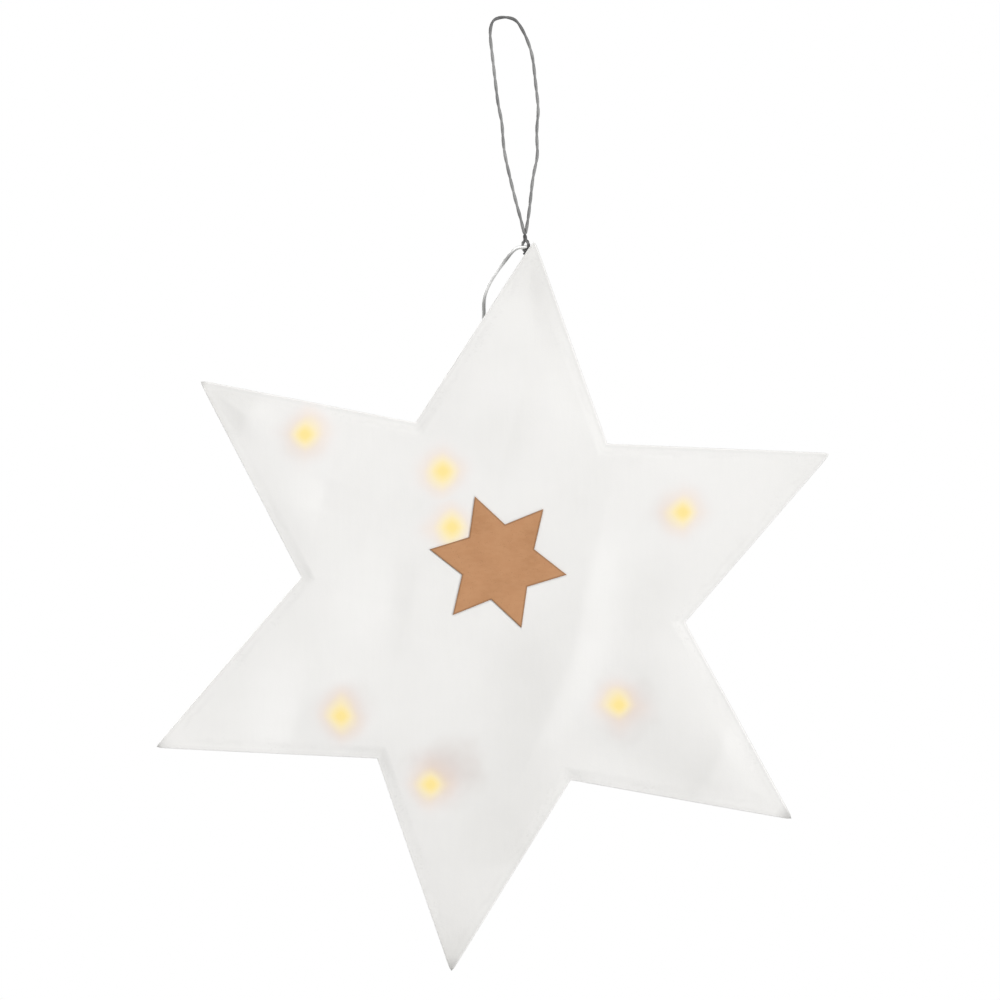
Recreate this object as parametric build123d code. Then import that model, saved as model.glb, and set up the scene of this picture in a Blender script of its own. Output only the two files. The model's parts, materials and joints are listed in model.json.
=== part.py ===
from build123d import *
import math
import os

# Paper star lantern on a wire frame, hung from a twisted wire loop.
# Millimetres, +Z up, +X right, front towards -Y. The origin is the underside of the loop's top arch, where
# the hook carries it. The star is drawn upright about its own centre and then hung by HANG_TILT.

# Star outline and paper
TIP_RADIUS = 165.0
NOTCH_RADIUS = 87.0
POINTS = 6
STAR_DEPTH = 4.0
PAPER_THICKNESS = 0.35
RIM_ANGLE = 45.0

# Wire frame inside the rim
FRAME_WIRE_RADIUS = 1.25
FRAME_CLEARANCE = 0.3
TIP_BEND_RADIUS = 2.5
NOTCH_BEND_RADIUS = 1.6

# Small brown paper star on the front, placed from the centre of the large one
KRAFT_TIP_RADIUS = 31.4
KRAFT_NOTCH_RADIUS = 17.2
KRAFT_THICKNESS = 0.4
KRAFT_X = 0.4
KRAFT_Z = 18.1
KRAFT_TURN = 26.0

# Hanging: the eye on the bow, seen from the star's top tip, and the bow's distance behind the frame
HANG_TILT = 6.5
EYE_LEFT_OF_TIP = 3.7
EYE_BELOW_TIP = 4.1
BOW_SETBACK = 6.5

# Wire bow on the back of the top point
BOW_WIRE_RADIUS = 0.85
BOW_NEAR_SEAT = 8.0
BOW_FAR_SEAT = 42.0
BOW_LEG_BEND = 2.5
BOW_WELD_DEPTH = 0.25
BOW_HOLE_CLEARANCE = 0.3
BEARING_HALF = 4.4
BEARING_BEND = 2.4
BOW_ARC = [(-9.5, -4.4), (-14.2, -12.4), (-17.2, -22.0), (-18.4, -31.0)]

# Twisted wire loop, as the centre line of its two strands, from the underside of its top arch
LOOP_WIRE_RADIUS = 0.85
EYE_X = 9.0
EYE_DROP = 102.5
LOOP_TOP_HALF = 2.4
LOOP_LEFT = [(-6.9, -4.4), (-6.7, -13.4), (-4.1, -33.4), (-1.3, -53.4), (1.4, -71.4)]
LOOP_RIGHT = [(7.4, -4.4), (10.6, -13.4), (13.9, -33.4), (14.6, -48.4), (13.4, -66.4), (11.8, -80.4)]
NECK_RADIUS = 1.25
NECK_LENGTH = 4.8
NECK_SPREAD = 0.6
RING_RADIUS = 3.0
RING_TURN = 37.0
RING_GAP = 0.3

# Light string: where each LED sits (share of the tip radius, clock angle from the top tip) and the
# sheet that it faces, -1 the front and 1 the back, in the order of the wire
LED_SPOTS = [
    (0.098, 7.1, 1),
    (0.574, 58.3, -1),
    (0.446, 122.8, -1),
    (0.527, 192.2, -1),
    (0.519, 226.5, -1),
    (0.232, 324.8, -1),
    (0.382, 332.6, -1),
    (0.687, 305.2, -1),
    (0.415, 263.3, 1),
    (0.804, 240.1, 1),
]
# For each wire between two LEDs: the clock angle of the socket face that it leaves, that of the face
# that it reaches, and the points of its slack
STRING_GAPS = [
    (45, 270, []),
    (180, 0, []),
    (225, 45, []),
    (0, 90, [(-21.0, -52.0), (-33.0, -42.0), (-45.0, -48.0)]),
    (0, 225, []),
    (90, 90, [(10.0, 34.0), (19.0, 44.0), (10.0, 54.5)]),
    (270, 135, [(-53.0, 39.0), (-70.0, 40.0)]),
    (180, 0, []),
    (225, 45, []),
]
LEAD_FACE = 180
LENS_RADIUS = 1.5
SOCKET_SIDES = 8
SOCKET_WIDTH = 4.4
SOCKET_HEIGHT = 2.4
GLUE_THICKNESS = 0.3
GLUE_RADIUS = 2.2
STRING_WIRE_RADIUS = 0.55
STRING_LEAD_IN = 8.0
CORNER_SHARE = 0.45

# Battery box on the back, placed from the star's centre
BOX_X = 30.0
BOX_Z = -8.0
PAD_THICKNESS = 1.0
PAD_MARGIN = 3.0
CELL_DIAMETER = 14.5
CELL_LENGTH = 50.5
CELL_EDGE = 0.8
CELL_NUB_RADIUS = 2.75
CELL_NUB_LENGTH = 1.0
CELL_GAP = 0.6
CELL_CLEARANCE = 0.3
CONTACT_THICKNESS = 0.4
CONTACT_WIDTH = 11.0
SPRING_LENGTH = 5.0
SPRING_BASE_RADIUS = 4.2
SPRING_TOP_RADIUS = 2.8
SPRING_WIRE_RADIUS = 0.35
SPRING_HALF_TURNS = 6
SPRING_SEAT_GAP = 0.02
BOX_FLOOR = 1.6
BOX_SIDE_WALL = 2.4
BOX_END_WALL = 2.0
BOX_CORNER = 3.0
BOX_EDGE = 0.8
PARTITION = 1.6
SWITCH_BAY = 13.0
COVER_PLATE = 1.2
COVER_LIP = 1.2
COVER_GROOVE = 1.2
COVER_CLEARANCE = 0.15
GRIP_GROOVES = 5
GRIP_PITCH = 2.4
GRIP_WIDTH = 1.2
GRIP_DEPTH = 0.6
GRIP_SPAN = 16.0
GRIP_FROM_END = 6.0

# Switch and driver board under the deck at the box's lower end
BOARD_THICKNESS = 1.2
BOARD_MARGIN = 0.4
BOARD_RIB = 3.0
SWITCH_LENGTH = 10.0
SWITCH_WIDTH = 5.0
SWITCH_HEIGHT = 4.0
SWITCH_ROOM = 1.0
SWITCH_WELL = 3.0
KNOB_TRAVEL = 4.0
KNOB_STEM = 2.2
KNOB_CAP_LENGTH = 4.4
KNOB_CAP_WIDTH = 3.4
KNOB_CAP_HEIGHT = 1.4
KNOB_RECESS = 0.4
KNOB_CLEARANCE = 0.2
KNOB_RIDGES = 3
KNOB_RIDGE_WIDTH = 0.5
KNOB_RIDGE_PITCH = 1.3
TAB_WIDTH = 3.0
TAB_REACH = 3.0
TAB_SLOT_CLEARANCE = 0.2

# Lead from the board to the first LED
LEAD_EXIT_X = 8.0
LEAD_BEND = 3.6
LEAD_ROUTE = [(20.5, -22.0), (10.0, -7.0)]
GROMMET_RADIUS = 2.2
GROMMET_FLANGE = 3.2
GROMMET_FLANGE_THICKNESS = 0.8
GROMMET_FIT = 0.05
LEAD_FIT = 0.1
PAPER_HOLE_CLEARANCE = 0.8

# Tip half angle, and how far a line moved in by one unit moves the tip and the notch
SECTOR = 180.0 / POINTS
TIP_HALF_ANGLE = math.degrees(
    math.atan2(
        NOTCH_RADIUS * math.sin(math.radians(SECTOR)),
        TIP_RADIUS - NOTCH_RADIUS * math.cos(math.radians(SECTOR)),
    )
)
TIP_PER_INSET = 1 / math.sin(math.radians(TIP_HALF_ANGLE))
NOTCH_PER_INSET = 1 / math.sin(math.radians(SECTOR + TIP_HALF_ANGLE))

# The paper's rim slopes from the seam to the flat sheet, and the wire nests between both slopes
RIM_SINE = math.sin(math.radians(RIM_ANGLE))
RIM_RUN = STAR_DEPTH / math.tan(math.radians(RIM_ANGLE))
INNER_DEPTH = STAR_DEPTH - PAPER_THICKNESS
INNER_RUN = INNER_DEPTH / math.tan(math.radians(RIM_ANGLE))
WALL_INSET = PAPER_THICKNESS / RIM_SINE
FRAME_INSET = (FRAME_WIRE_RADIUS + FRAME_CLEARANCE + PAPER_THICKNESS) / RIM_SINE

# Battery box sizes that follow from the cells
BAY_WIDTH = 2 * CELL_DIAMETER + CELL_GAP + 2 * CELL_CLEARANCE
BAY_LENGTH = CELL_LENGTH + SPRING_LENGTH + 2 * CONTACT_THICKNESS
BAY_DEPTH = CELL_DIAMETER + 2 * CELL_CLEARANCE
GROOVE_HEIGHT = COVER_PLATE + 2 * COVER_CLEARANCE
BOX_WIDTH = BAY_WIDTH + 2 * BOX_SIDE_WALL
BOX_LENGTH = BAY_LENGTH + PARTITION + SWITCH_BAY + 2 * BOX_END_WALL
BOX_DEPTH = BOX_FLOOR + BAY_DEPTH + GROOVE_HEIGHT + COVER_LIP
BOX_BASE = STAR_DEPTH + PAD_THICKNESS
BAY_TOP = BOX_LENGTH / 2 - BOX_END_WALL
BAY_BOTTOM = BAY_TOP - BAY_LENGTH
SWITCH_TOP = BAY_BOTTOM - PARTITION
SWITCH_BOTTOM = SWITCH_TOP - SWITCH_BAY
GROOVE_LOW = BOX_FLOOR + BAY_DEPTH
GROOVE_HIGH = GROOVE_LOW + GROOVE_HEIGHT
CELL_OFFSET = (CELL_DIAMETER + CELL_GAP) / 2
CELL_AXIS = BOX_FLOOR + BAY_DEPTH / 2
PLATE_LOW = GROOVE_LOW + COVER_CLEARANCE
PLATE_HIGH = PLATE_LOW + COVER_PLATE
PLATE_HALF = BAY_WIDTH / 2 + COVER_GROOVE - COVER_CLEARANCE
PANEL_HALF = BAY_WIDTH / 2 - COVER_CLEARANCE
SWITCH_DECK_TOP = PLATE_LOW - SWITCH_ROOM
BOARD_TOP = SWITCH_DECK_TOP - SWITCH_HEIGHT
BOARD_BOTTOM = BOARD_TOP - BOARD_THICKNESS
SWITCH_Z = (SWITCH_TOP + SWITCH_BOTTOM) / 2
LEAD_Z = SWITCH_Z

# Places in the hung frame
TILT_COS = math.cos(math.radians(HANG_TILT))
TILT_SIN = math.sin(math.radians(HANG_TILT))
EYE_LOCAL_X = -EYE_LEFT_OF_TIP
EYE_LOCAL_Z = TIP_RADIUS - EYE_BELOW_TIP
EYE_Z = -EYE_DROP
STAR_X = EYE_X - (EYE_LOCAL_X * TILT_COS + EYE_LOCAL_Z * TILT_SIN)
STAR_Z = EYE_Z - (EYE_LOCAL_Z * TILT_COS - EYE_LOCAL_X * TILT_SIN)
HANG = Pos(STAR_X, -BOW_SETBACK, STAR_Z) * Rot(0, HANG_TILT, 0)
BOX = HANG * Pos(BOX_X, BOX_BASE, BOX_Z)

nodes = {}


def slab(x0, x1, y0, y1, z0, z1):
    """A block between two corners."""
    middle = Pos((x0 + x1) / 2, (y0 + y1) / 2, (z0 + z1) / 2)
    return middle * Box(x1 - x0, y1 - y0, z1 - z0)


def rod(radius, start, end):
    """A round bar between two points."""
    start = Vector(*start)
    end = Vector(*end)
    plane = Plane(origin=start, z_dir=end - start)
    return extrude(plane * Circle(radius), amount=(end - start).length)


def even_radii(points):
    """For each inner point of a route, the largest arc that its two runs allow."""
    radii = []
    for before, point, after in zip(points, points[1:], points[2:]):
        run_in = Vector(*point) - Vector(*before)
        run_out = Vector(*after) - Vector(*point)
        turn = math.radians(run_in.get_angle(run_out))
        shorter = min(run_in.length, run_out.length)
        radii.append(CORNER_SHARE * shorter / math.tan(turn / 2))
    return radii


def tube(radius, points, radii):
    """A round wire along straight runs joined by tangent arcs. Prints its volume against its length."""
    path = FilletPolyline(*points, radius=radii) if radii else Line(*points)
    section = Plane(origin=path @ 0, z_dir=path % 0) * Circle(radius)
    solid = sweep(section, path=path)
    share = solid.volume / (math.pi * radius**2 * path.length)
    least = min(radii) if radii else 0
    print(f"  tube r {radius} length {path.length:.1f} volume share {share:.4f} least bend {least:.1f}")
    return solid


def star_face(tip_radius, notch_radius, inset=0.0, turn=0.0):
    """A star outline with every edge moved in by inset, turned anticlockwise."""
    tip = tip_radius - inset * TIP_PER_INSET
    notch = notch_radius - inset * NOTCH_PER_INSET
    corners = []
    for index in range(2 * POINTS):
        angle = math.radians(90 + turn + index * SECTOR)
        reach = notch if index % 2 else tip
        corners.append((reach * math.cos(angle), reach * math.sin(angle)))
    return make_face(Polyline(*corners, close=True))


def star_block(side, depth, run, inset):
    """The sloped block of a sheet: the outline at the seam, drawn in by run at its flat face."""
    seam = Plane.XZ * star_face(TIP_RADIUS, NOTCH_RADIUS, inset)
    flat = Plane.XZ.offset(-side * depth) * star_face(TIP_RADIUS, NOTCH_RADIUS, inset + run)
    return loft([seam, flat], ruled=True)


def paper_sheet(side):
    """A thin sheet drawn over the frame, its rim sloping down to the seam."""
    outside = star_block(side, STAR_DEPTH, RIM_RUN, 0.0)
    inside = star_block(side, INNER_DEPTH, INNER_RUN, WALL_INSET)
    return outside - inside


def frame_corner(distance, side):
    """A point on one of the top point's two frame wires, by its distance from their crossing."""
    crossing = TIP_RADIUS - FRAME_INSET * TIP_PER_INSET
    angle = math.radians(TIP_HALF_ANGLE)
    return (side * distance * math.sin(angle), 0, crossing - distance * math.cos(angle))


def make_frame():
    tip = TIP_RADIUS - FRAME_INSET * TIP_PER_INSET
    notch = NOTCH_RADIUS - FRAME_INSET * NOTCH_PER_INSET
    corners = []
    radii = []
    for index in range(2 * POINTS):
        angle = math.radians(index * SECTOR)
        reach = notch if index % 2 else tip
        corners.append((reach * math.sin(angle), 0, reach * math.cos(angle)))
        radii.append(NOTCH_BEND_RADIUS if index % 2 else TIP_BEND_RADIUS)
    path = FilletPolyline(*corners, radius=radii, close=True)
    wire = Wire(path.edges())
    section = Plane(origin=wire @ 0, z_dir=wire % 0) * Circle(FRAME_WIRE_RADIUS)
    solid = sweep(section, path=wire)
    share = solid.volume / (math.pi * FRAME_WIRE_RADIUS**2 * wire.length)
    print(f"  frame length {wire.length:.1f} volume share {share:.4f}")
    return solid


def hung(point):
    """A point of the upright star in the hung frame."""
    return (HANG * Pos(*point)).position


def make_bow():
    near = hung(frame_corner(BOW_NEAR_SEAT, 1))
    far = hung(frame_corner(BOW_FAR_SEAT, -1))
    weld = FRAME_WIRE_RADIUS - BOW_WELD_DEPTH - BOW_SETBACK
    points = [(near.X, weld, near.Z), (near.X, 0, near.Z)]
    points.append((EYE_X + BEARING_HALF, 0, EYE_Z))
    points.append((EYE_X - BEARING_HALF, 0, EYE_Z))
    points.extend((EYE_X + x, 0, EYE_Z + z) for x, z in BOW_ARC)
    points.extend([(far.X, 0, far.Z), (far.X, weld, far.Z)])
    radii = even_radii(points)
    radii[0] = BOW_LEG_BEND
    radii[1] = BEARING_BEND
    radii[2] = BEARING_BEND
    radii[-1] = BOW_LEG_BEND
    return tube(BOW_WIRE_RADIUS, points, radii)


def bow_holes():
    """Room in the back sheet for the bow's two legs."""
    radius = BOW_WIRE_RADIUS + BOW_HOLE_CLEARANCE
    holes = []
    for distance, side in ((BOW_NEAR_SEAT, 1), (BOW_FAR_SEAT, -1)):
        seat = frame_corner(distance, side)
        holes.append(rod(radius, seat, (seat[0], BOW_SETBACK, seat[2])))
    return holes


def make_loop():
    """The loop's two strands, its neck and the eye round the bow, one piece of twisted wire."""
    rise = BOW_WIRE_RADIUS + RING_GAP + LOOP_WIRE_RADIUS
    ring_z = EYE_Z + RING_RADIUS - rise
    neck_low = ring_z + RING_RADIUS
    neck_high = neck_low + NECK_LENGTH
    strands = []
    for side, route in ((-1, LOOP_LEFT), (1, LOOP_RIGHT)):
        flat = [(0, 0), (side * LOOP_TOP_HALF, 0)] + route
        points = [(x, 0, z + LOOP_WIRE_RADIUS) for x, z in flat]
        points.append((EYE_X + side * NECK_SPREAD, 0, neck_high))
        strands.append(tube(LOOP_WIRE_RADIUS, points, even_radii(points)))
    neck = rod(NECK_RADIUS, (EYE_X, 0, neck_low), (EYE_X, 0, neck_high))
    ring = Rot(0, 0, RING_TURN) * Rot(0, 90, 0) * Torus(RING_RADIUS, LOOP_WIRE_RADIUS)
    ring = Pos(EYE_X, 0, ring_z) * ring
    return strands[0] + strands[1] + neck + ring


def led_place(spot):
    """An LED's place in the plane of the frame."""
    share, clock, _ = spot
    angle = math.radians(clock)
    return Vector(share * TIP_RADIUS * math.sin(angle), 0, share * TIP_RADIUS * math.cos(angle))


def clock_heading(clock):
    """The direction of a clock angle in the plane of the frame."""
    angle = math.radians(clock)
    return Vector(math.sin(angle), 0, math.cos(angle))


def facing(side):
    """Turns +Z towards the front sheet, -1, or the back sheet, 1."""
    return Rot(-90 * side, 0, 0)


def make_lens(side):
    base = SOCKET_HEIGHT / 2
    straight = INNER_DEPTH - GLUE_THICKNESS - base - LENS_RADIUS
    seat = (Align.CENTER, Align.CENTER, Align.MIN)
    body = Pos(0, 0, base) * Cylinder(LENS_RADIUS, straight, align=seat)
    dome = Pos(0, 0, base + straight) * Sphere(LENS_RADIUS, arc_size1=0, align=seat)
    return facing(side) * (body + dome)


def make_socket():
    """An eight-sided sleeve with a flat face for each wire."""
    turn = 180 / SOCKET_SIDES
    outline = RegularPolygon(SOCKET_WIDTH / 2, SOCKET_SIDES, major_radius=False, rotation=turn)
    return extrude(Plane.XZ * outline, amount=SOCKET_HEIGHT / 2, both=True)


def socket_face(place, clock):
    """Where a wire meets a socket's face, and where its first straight run ends."""
    heading = clock_heading(clock)
    face = place + heading * (SOCKET_WIDTH / 2)
    return face, face + heading * STRING_LEAD_IN


def make_string():
    places = [led_place(spot) for spot in LED_SPOTS]
    dots = []
    for index, (spot, place) in enumerate(zip(LED_SPOTS, places), start=1):
        side = spot[2]
        seat = HANG * Pos(place.X, 0, place.Z)
        nodes[f"led_socket_{index:02d}"] = seat * make_socket()
        nodes[f"led_lens_{index:02d}"] = seat * make_lens(side)
        dot = Pos(0, 0, INNER_DEPTH - GLUE_THICKNESS / 2) * Cylinder(GLUE_RADIUS, GLUE_THICKNESS)
        dots.append(seat * facing(side) * dot)
    nodes["glue_dots"] = Compound(children=dots)
    for index, (leave_clock, reach_clock, slack) in enumerate(STRING_GAPS):
        start, leave = socket_face(places[index], leave_clock)
        end, reach = socket_face(places[index + 1], reach_clock)
        points = [tuple(start), tuple(leave)]
        points.extend((x, 0, z) for x, z in slack)
        points.extend([tuple(reach), tuple(end)])
        nodes[f"led_wire_{index + 1:02d}"] = HANG * tube(STRING_WIRE_RADIUS, points, even_radii(points))
    make_lead(places[0])


def make_lead(first_led):
    """The lead from the board, through the box's floor and the back sheet, to the first LED."""
    x = BOX_X + LEAD_EXIT_X
    z = BOX_Z + LEAD_Z
    points = [(x, BOX_BASE + BOARD_BOTTOM, z), (x, 0, z)]
    points.extend((px, 0, pz) for px, pz in LEAD_ROUTE)
    end, reach = socket_face(first_led, LEAD_FACE)
    points.extend([tuple(reach), tuple(end)])
    radii = even_radii(points)
    radii[0] = LEAD_BEND
    nodes["supply_lead"] = HANG * tube(STRING_WIRE_RADIUS, points, radii)


def make_papers():
    nodes["front_paper"] = HANG * paper_sheet(-1)
    back = paper_sheet(1)
    for hole in bow_holes():
        back -= hole
    lead_hole = STRING_WIRE_RADIUS + PAPER_HOLE_CLEARANCE
    x = BOX_X + LEAD_EXIT_X
    z = BOX_Z + LEAD_Z
    back -= rod(lead_hole, (x, 0, z), (x, BOX_BASE, z))
    nodes["back_paper"] = HANG * back
    kraft = Plane.XZ * star_face(KRAFT_TIP_RADIUS, KRAFT_NOTCH_RADIUS, 0.0, KRAFT_TURN)
    kraft = extrude(kraft, amount=KRAFT_THICKNESS)
    nodes["kraft_star"] = HANG * Pos(KRAFT_X, -STAR_DEPTH, KRAFT_Z) * kraft


def make_housing():
    half = BOX_WIDTH / 2
    end = BOX_LENGTH / 2
    bay = BAY_WIDTH / 2
    body = slab(-half, half, 0, BOX_DEPTH, -end, end)
    body = fillet(body.edges().filter_by(Axis.Y), BOX_CORNER)
    body = fillet(body.faces().sort_by(Axis.Y)[0].edges(), BOX_EDGE)
    body -= slab(-bay, bay, BOX_FLOOR, BOX_DEPTH, BAY_BOTTOM, BAY_TOP)
    body -= slab(-bay, bay, BOX_FLOOR, BOX_DEPTH, SWITCH_BOTTOM, SWITCH_TOP)
    body -= slab(-bay, bay, GROOVE_LOW, BOX_DEPTH, SWITCH_BOTTOM, end)
    groove = bay + COVER_GROOVE
    body -= slab(-groove, groove, GROOVE_LOW, GROOVE_HIGH, SWITCH_BOTTOM, end)
    for side in (-1, 1):
        inner = side * (bay - BOARD_RIB)
        low, high = sorted((inner, side * bay))
        body += slab(low, high, BOX_FLOOR, BOARD_BOTTOM, SWITCH_BOTTOM, SWITCH_TOP)
        slot = TAB_WIDTH / 2 + TAB_SLOT_CLEARANCE
        x = side * CELL_OFFSET
        body -= slab(x - slot, x + slot, BOARD_TOP - TAB_SLOT_CLEARANCE, GROOVE_LOW, SWITCH_TOP, BAY_BOTTOM)
    exit_point = (LEAD_EXIT_X, 0, LEAD_Z)
    body -= rod(GROMMET_RADIUS + GROMMET_FIT, exit_point, (LEAD_EXIT_X, BOX_FLOOR, LEAD_Z))
    return body


def sliding_plate(low, high):
    """A plate that runs in the box's grooves, with a raised panel between the lips."""
    plate = slab(-PLATE_HALF, PLATE_HALF, PLATE_LOW, PLATE_HIGH, low, high)
    return plate + slab(-PANEL_HALF, PANEL_HALF, PLATE_LOW, BOX_DEPTH, low, high)


def make_cover():
    end = BOX_LENGTH / 2
    cover = sliding_plate(SWITCH_TOP + COVER_CLEARANCE, end)
    for index in range(GRIP_GROOVES):
        z = end - GRIP_FROM_END - index * GRIP_PITCH
        cover -= slab(
            -GRIP_SPAN / 2,
            GRIP_SPAN / 2,
            BOX_DEPTH - GRIP_DEPTH,
            BOX_DEPTH,
            z - GRIP_WIDTH / 2,
            z + GRIP_WIDTH / 2,
        )
    return cover


def make_deck():
    deck = sliding_plate(SWITCH_BOTTOM + COVER_CLEARANCE, SWITCH_TOP)
    half = (KNOB_CAP_LENGTH + KNOB_TRAVEL) / 2 + KNOB_CLEARANCE
    wide = KNOB_CAP_WIDTH / 2 + KNOB_CLEARANCE
    return deck - slab(-half, half, PLATE_LOW, BOX_DEPTH, SWITCH_Z - wide, SWITCH_Z + wide)


def make_switch_body():
    body = slab(
        -SWITCH_LENGTH / 2,
        SWITCH_LENGTH / 2,
        BOARD_TOP,
        SWITCH_DECK_TOP,
        SWITCH_Z - SWITCH_WIDTH / 2,
        SWITCH_Z + SWITCH_WIDTH / 2,
    )
    half = (KNOB_STEM + KNOB_TRAVEL) / 2 + KNOB_CLEARANCE
    wide = KNOB_STEM / 2 + KNOB_CLEARANCE
    well = SWITCH_DECK_TOP - SWITCH_WELL
    return body - slab(-half, half, well, SWITCH_DECK_TOP, SWITCH_Z - wide, SWITCH_Z + wide)


def make_knob():
    """The switch's slider at its ON end, with ridges across its cap."""
    x = KNOB_TRAVEL / 2
    stem = KNOB_STEM / 2
    low = SWITCH_DECK_TOP - SWITCH_WELL + KNOB_CLEARANCE
    top = BOX_DEPTH - KNOB_RECESS
    base = top - KNOB_CAP_HEIGHT
    knob = slab(x - stem, x + stem, low, base, SWITCH_Z - stem, SWITCH_Z + stem)
    half = KNOB_CAP_LENGTH / 2
    wide = KNOB_CAP_WIDTH / 2
    knob += slab(x - half, x + half, base, top, SWITCH_Z - wide, SWITCH_Z + wide)
    for index in range(KNOB_RIDGES):
        middle = x + (index - (KNOB_RIDGES - 1) / 2) * KNOB_RIDGE_PITCH
        cut = KNOB_RIDGE_WIDTH / 2
        knob -= slab(
            middle - cut, middle + cut, top - KNOB_RIDGE_WIDTH, top, SWITCH_Z - wide, SWITCH_Z + wide
        )
    return knob


def make_cell(up):
    """A round cell standing on Z from its flat end, with its nub up, or turned over."""
    can_length = CELL_LENGTH - CELL_NUB_LENGTH
    cell = Pos(0, 0, can_length / 2) * Cylinder(CELL_DIAMETER / 2, can_length)
    cell = fillet(cell.edges(), CELL_EDGE)
    cell += Pos(0, 0, can_length + CELL_NUB_LENGTH / 2) * Cylinder(CELL_NUB_RADIUS, CELL_NUB_LENGTH)
    return cell if up else Pos(0, 0, CELL_LENGTH) * Rot(180, 0, 0) * cell


def make_spring(base_radius, top_radius):
    """A cone of wire on Z in half turns that share their end tangents."""
    low = SPRING_WIRE_RADIUS + SPRING_SEAT_GAP
    rise = (SPRING_LENGTH - 2 * low) / SPRING_HALF_TURNS
    edges = []
    for index in range(SPRING_HALF_TURNS):
        side = 1 if index % 2 == 0 else -1
        start_reach = base_radius + (top_radius - base_radius) * index / SPRING_HALF_TURNS
        end_reach = base_radius + (top_radius - base_radius) * (index + 1) / SPRING_HALF_TURNS
        start = Vector(side * start_reach, 0, low + index * rise)
        end = Vector(-side * end_reach, 0, low + (index + 1) * rise)
        middle = (start + end) * 0.5 + Vector(0, side * (start - end).length / 2, 0)
        edges.append(ThreePointArc(start, middle, end))
    path = Wire(edges)
    section = Plane(origin=path @ 0, z_dir=path % 0) * Circle(SPRING_WIRE_RADIUS)
    spring = sweep(section, path=path)
    gap = 2 * rise - 2 * SPRING_WIRE_RADIUS
    share = spring.volume / (math.pi * SPRING_WIRE_RADIUS**2 * path.length)
    print(f"  spring length {path.length:.1f} volume share {share:.4f} least gap between turns {gap:.2f}")
    return spring


def end_contact(x, z):
    """A contact plate on the partition with a tab through it to the board."""
    half = CONTACT_WIDTH / 2
    plate = slab(x - half, x + half, CELL_AXIS - half, CELL_AXIS + half, z, z + CONTACT_THICKNESS)
    tab_end = SWITCH_TOP - BOARD_MARGIN - TAB_REACH
    tab = slab(
        x - TAB_WIDTH / 2,
        x + TAB_WIDTH / 2,
        BOARD_TOP,
        BOARD_TOP + CONTACT_THICKNESS,
        tab_end,
        z + CONTACT_THICKNESS,
    )
    return plate + tab


def make_box():
    nodes["battery_housing"] = BOX * make_housing()
    nodes["battery_cover"] = BOX * make_cover()
    nodes["switch_deck"] = BOX * make_deck()
    nodes["switch_body"] = BOX * make_switch_body()
    nodes["switch_knob"] = BOX * make_knob()
    board_half = BAY_WIDTH / 2 - BOARD_MARGIN
    board = slab(
        -board_half,
        board_half,
        BOARD_BOTTOM,
        BOARD_TOP,
        SWITCH_BOTTOM + BOARD_MARGIN,
        SWITCH_TOP - BOARD_MARGIN,
    )
    nodes["driver_board"] = BOX * board
    floor = BAY_BOTTOM + CONTACT_THICKNESS
    left = Pos(-CELL_OFFSET, CELL_AXIS, floor)
    right = Pos(CELL_OFFSET, CELL_AXIS, floor)
    nodes["aa_cell_1"] = BOX * left * Pos(0, 0, SPRING_LENGTH) * make_cell(True)
    nodes["aa_cell_2"] = BOX * right * make_cell(False)
    nodes["cell_spring_lower"] = BOX * left * make_spring(SPRING_BASE_RADIUS, SPRING_TOP_RADIUS)
    upper = make_spring(SPRING_TOP_RADIUS, SPRING_BASE_RADIUS)
    nodes["cell_spring_upper"] = BOX * right * Pos(0, 0, CELL_LENGTH) * upper
    nodes["negative_contact"] = BOX * end_contact(-CELL_OFFSET, BAY_BOTTOM)
    nodes["positive_contact"] = BOX * end_contact(CELL_OFFSET, BAY_BOTTOM)
    bridge_half = CELL_OFFSET + CONTACT_WIDTH / 2
    half = CONTACT_WIDTH / 2
    bridge = slab(
        -bridge_half, bridge_half, CELL_AXIS - half, CELL_AXIS + half, BAY_TOP - CONTACT_THICKNESS, BAY_TOP
    )
    nodes["bridge_contact"] = BOX * bridge
    make_pad_and_grommet()


def make_pad_and_grommet():
    half = BOX_WIDTH / 2 - PAD_MARGIN
    end = BOX_LENGTH / 2 - PAD_MARGIN
    pad = slab(-half, half, -PAD_THICKNESS, 0, -end, end)
    pad -= rod(GROMMET_RADIUS, (LEAD_EXIT_X, -PAD_THICKNESS, LEAD_Z), (LEAD_EXIT_X, 0, LEAD_Z))
    nodes["foam_pad"] = BOX * pad
    shoulder = BOX_FLOOR + GROMMET_FLANGE_THICKNESS
    grommet = rod(GROMMET_RADIUS, (LEAD_EXIT_X, 0, LEAD_Z), (LEAD_EXIT_X, BOX_FLOOR, LEAD_Z))
    grommet += rod(GROMMET_FLANGE, (LEAD_EXIT_X, BOX_FLOOR, LEAD_Z), (LEAD_EXIT_X, shoulder, LEAD_Z))
    grommet -= rod(STRING_WIRE_RADIUS + LEAD_FIT, (LEAD_EXIT_X, 0, LEAD_Z), (LEAD_EXIT_X, shoulder, LEAD_Z))
    nodes["lead_grommet"] = BOX * grommet


nodes["hanging_loop"] = make_loop()
nodes["hanger_bow"] = make_bow()
nodes["frame_wire"] = HANG * make_frame()
make_papers()
make_string()
make_box()

os.makedirs("parts", exist_ok=True)
for name, solid in nodes.items():
    export_step(solid, f"parts/{name}.step")

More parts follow.
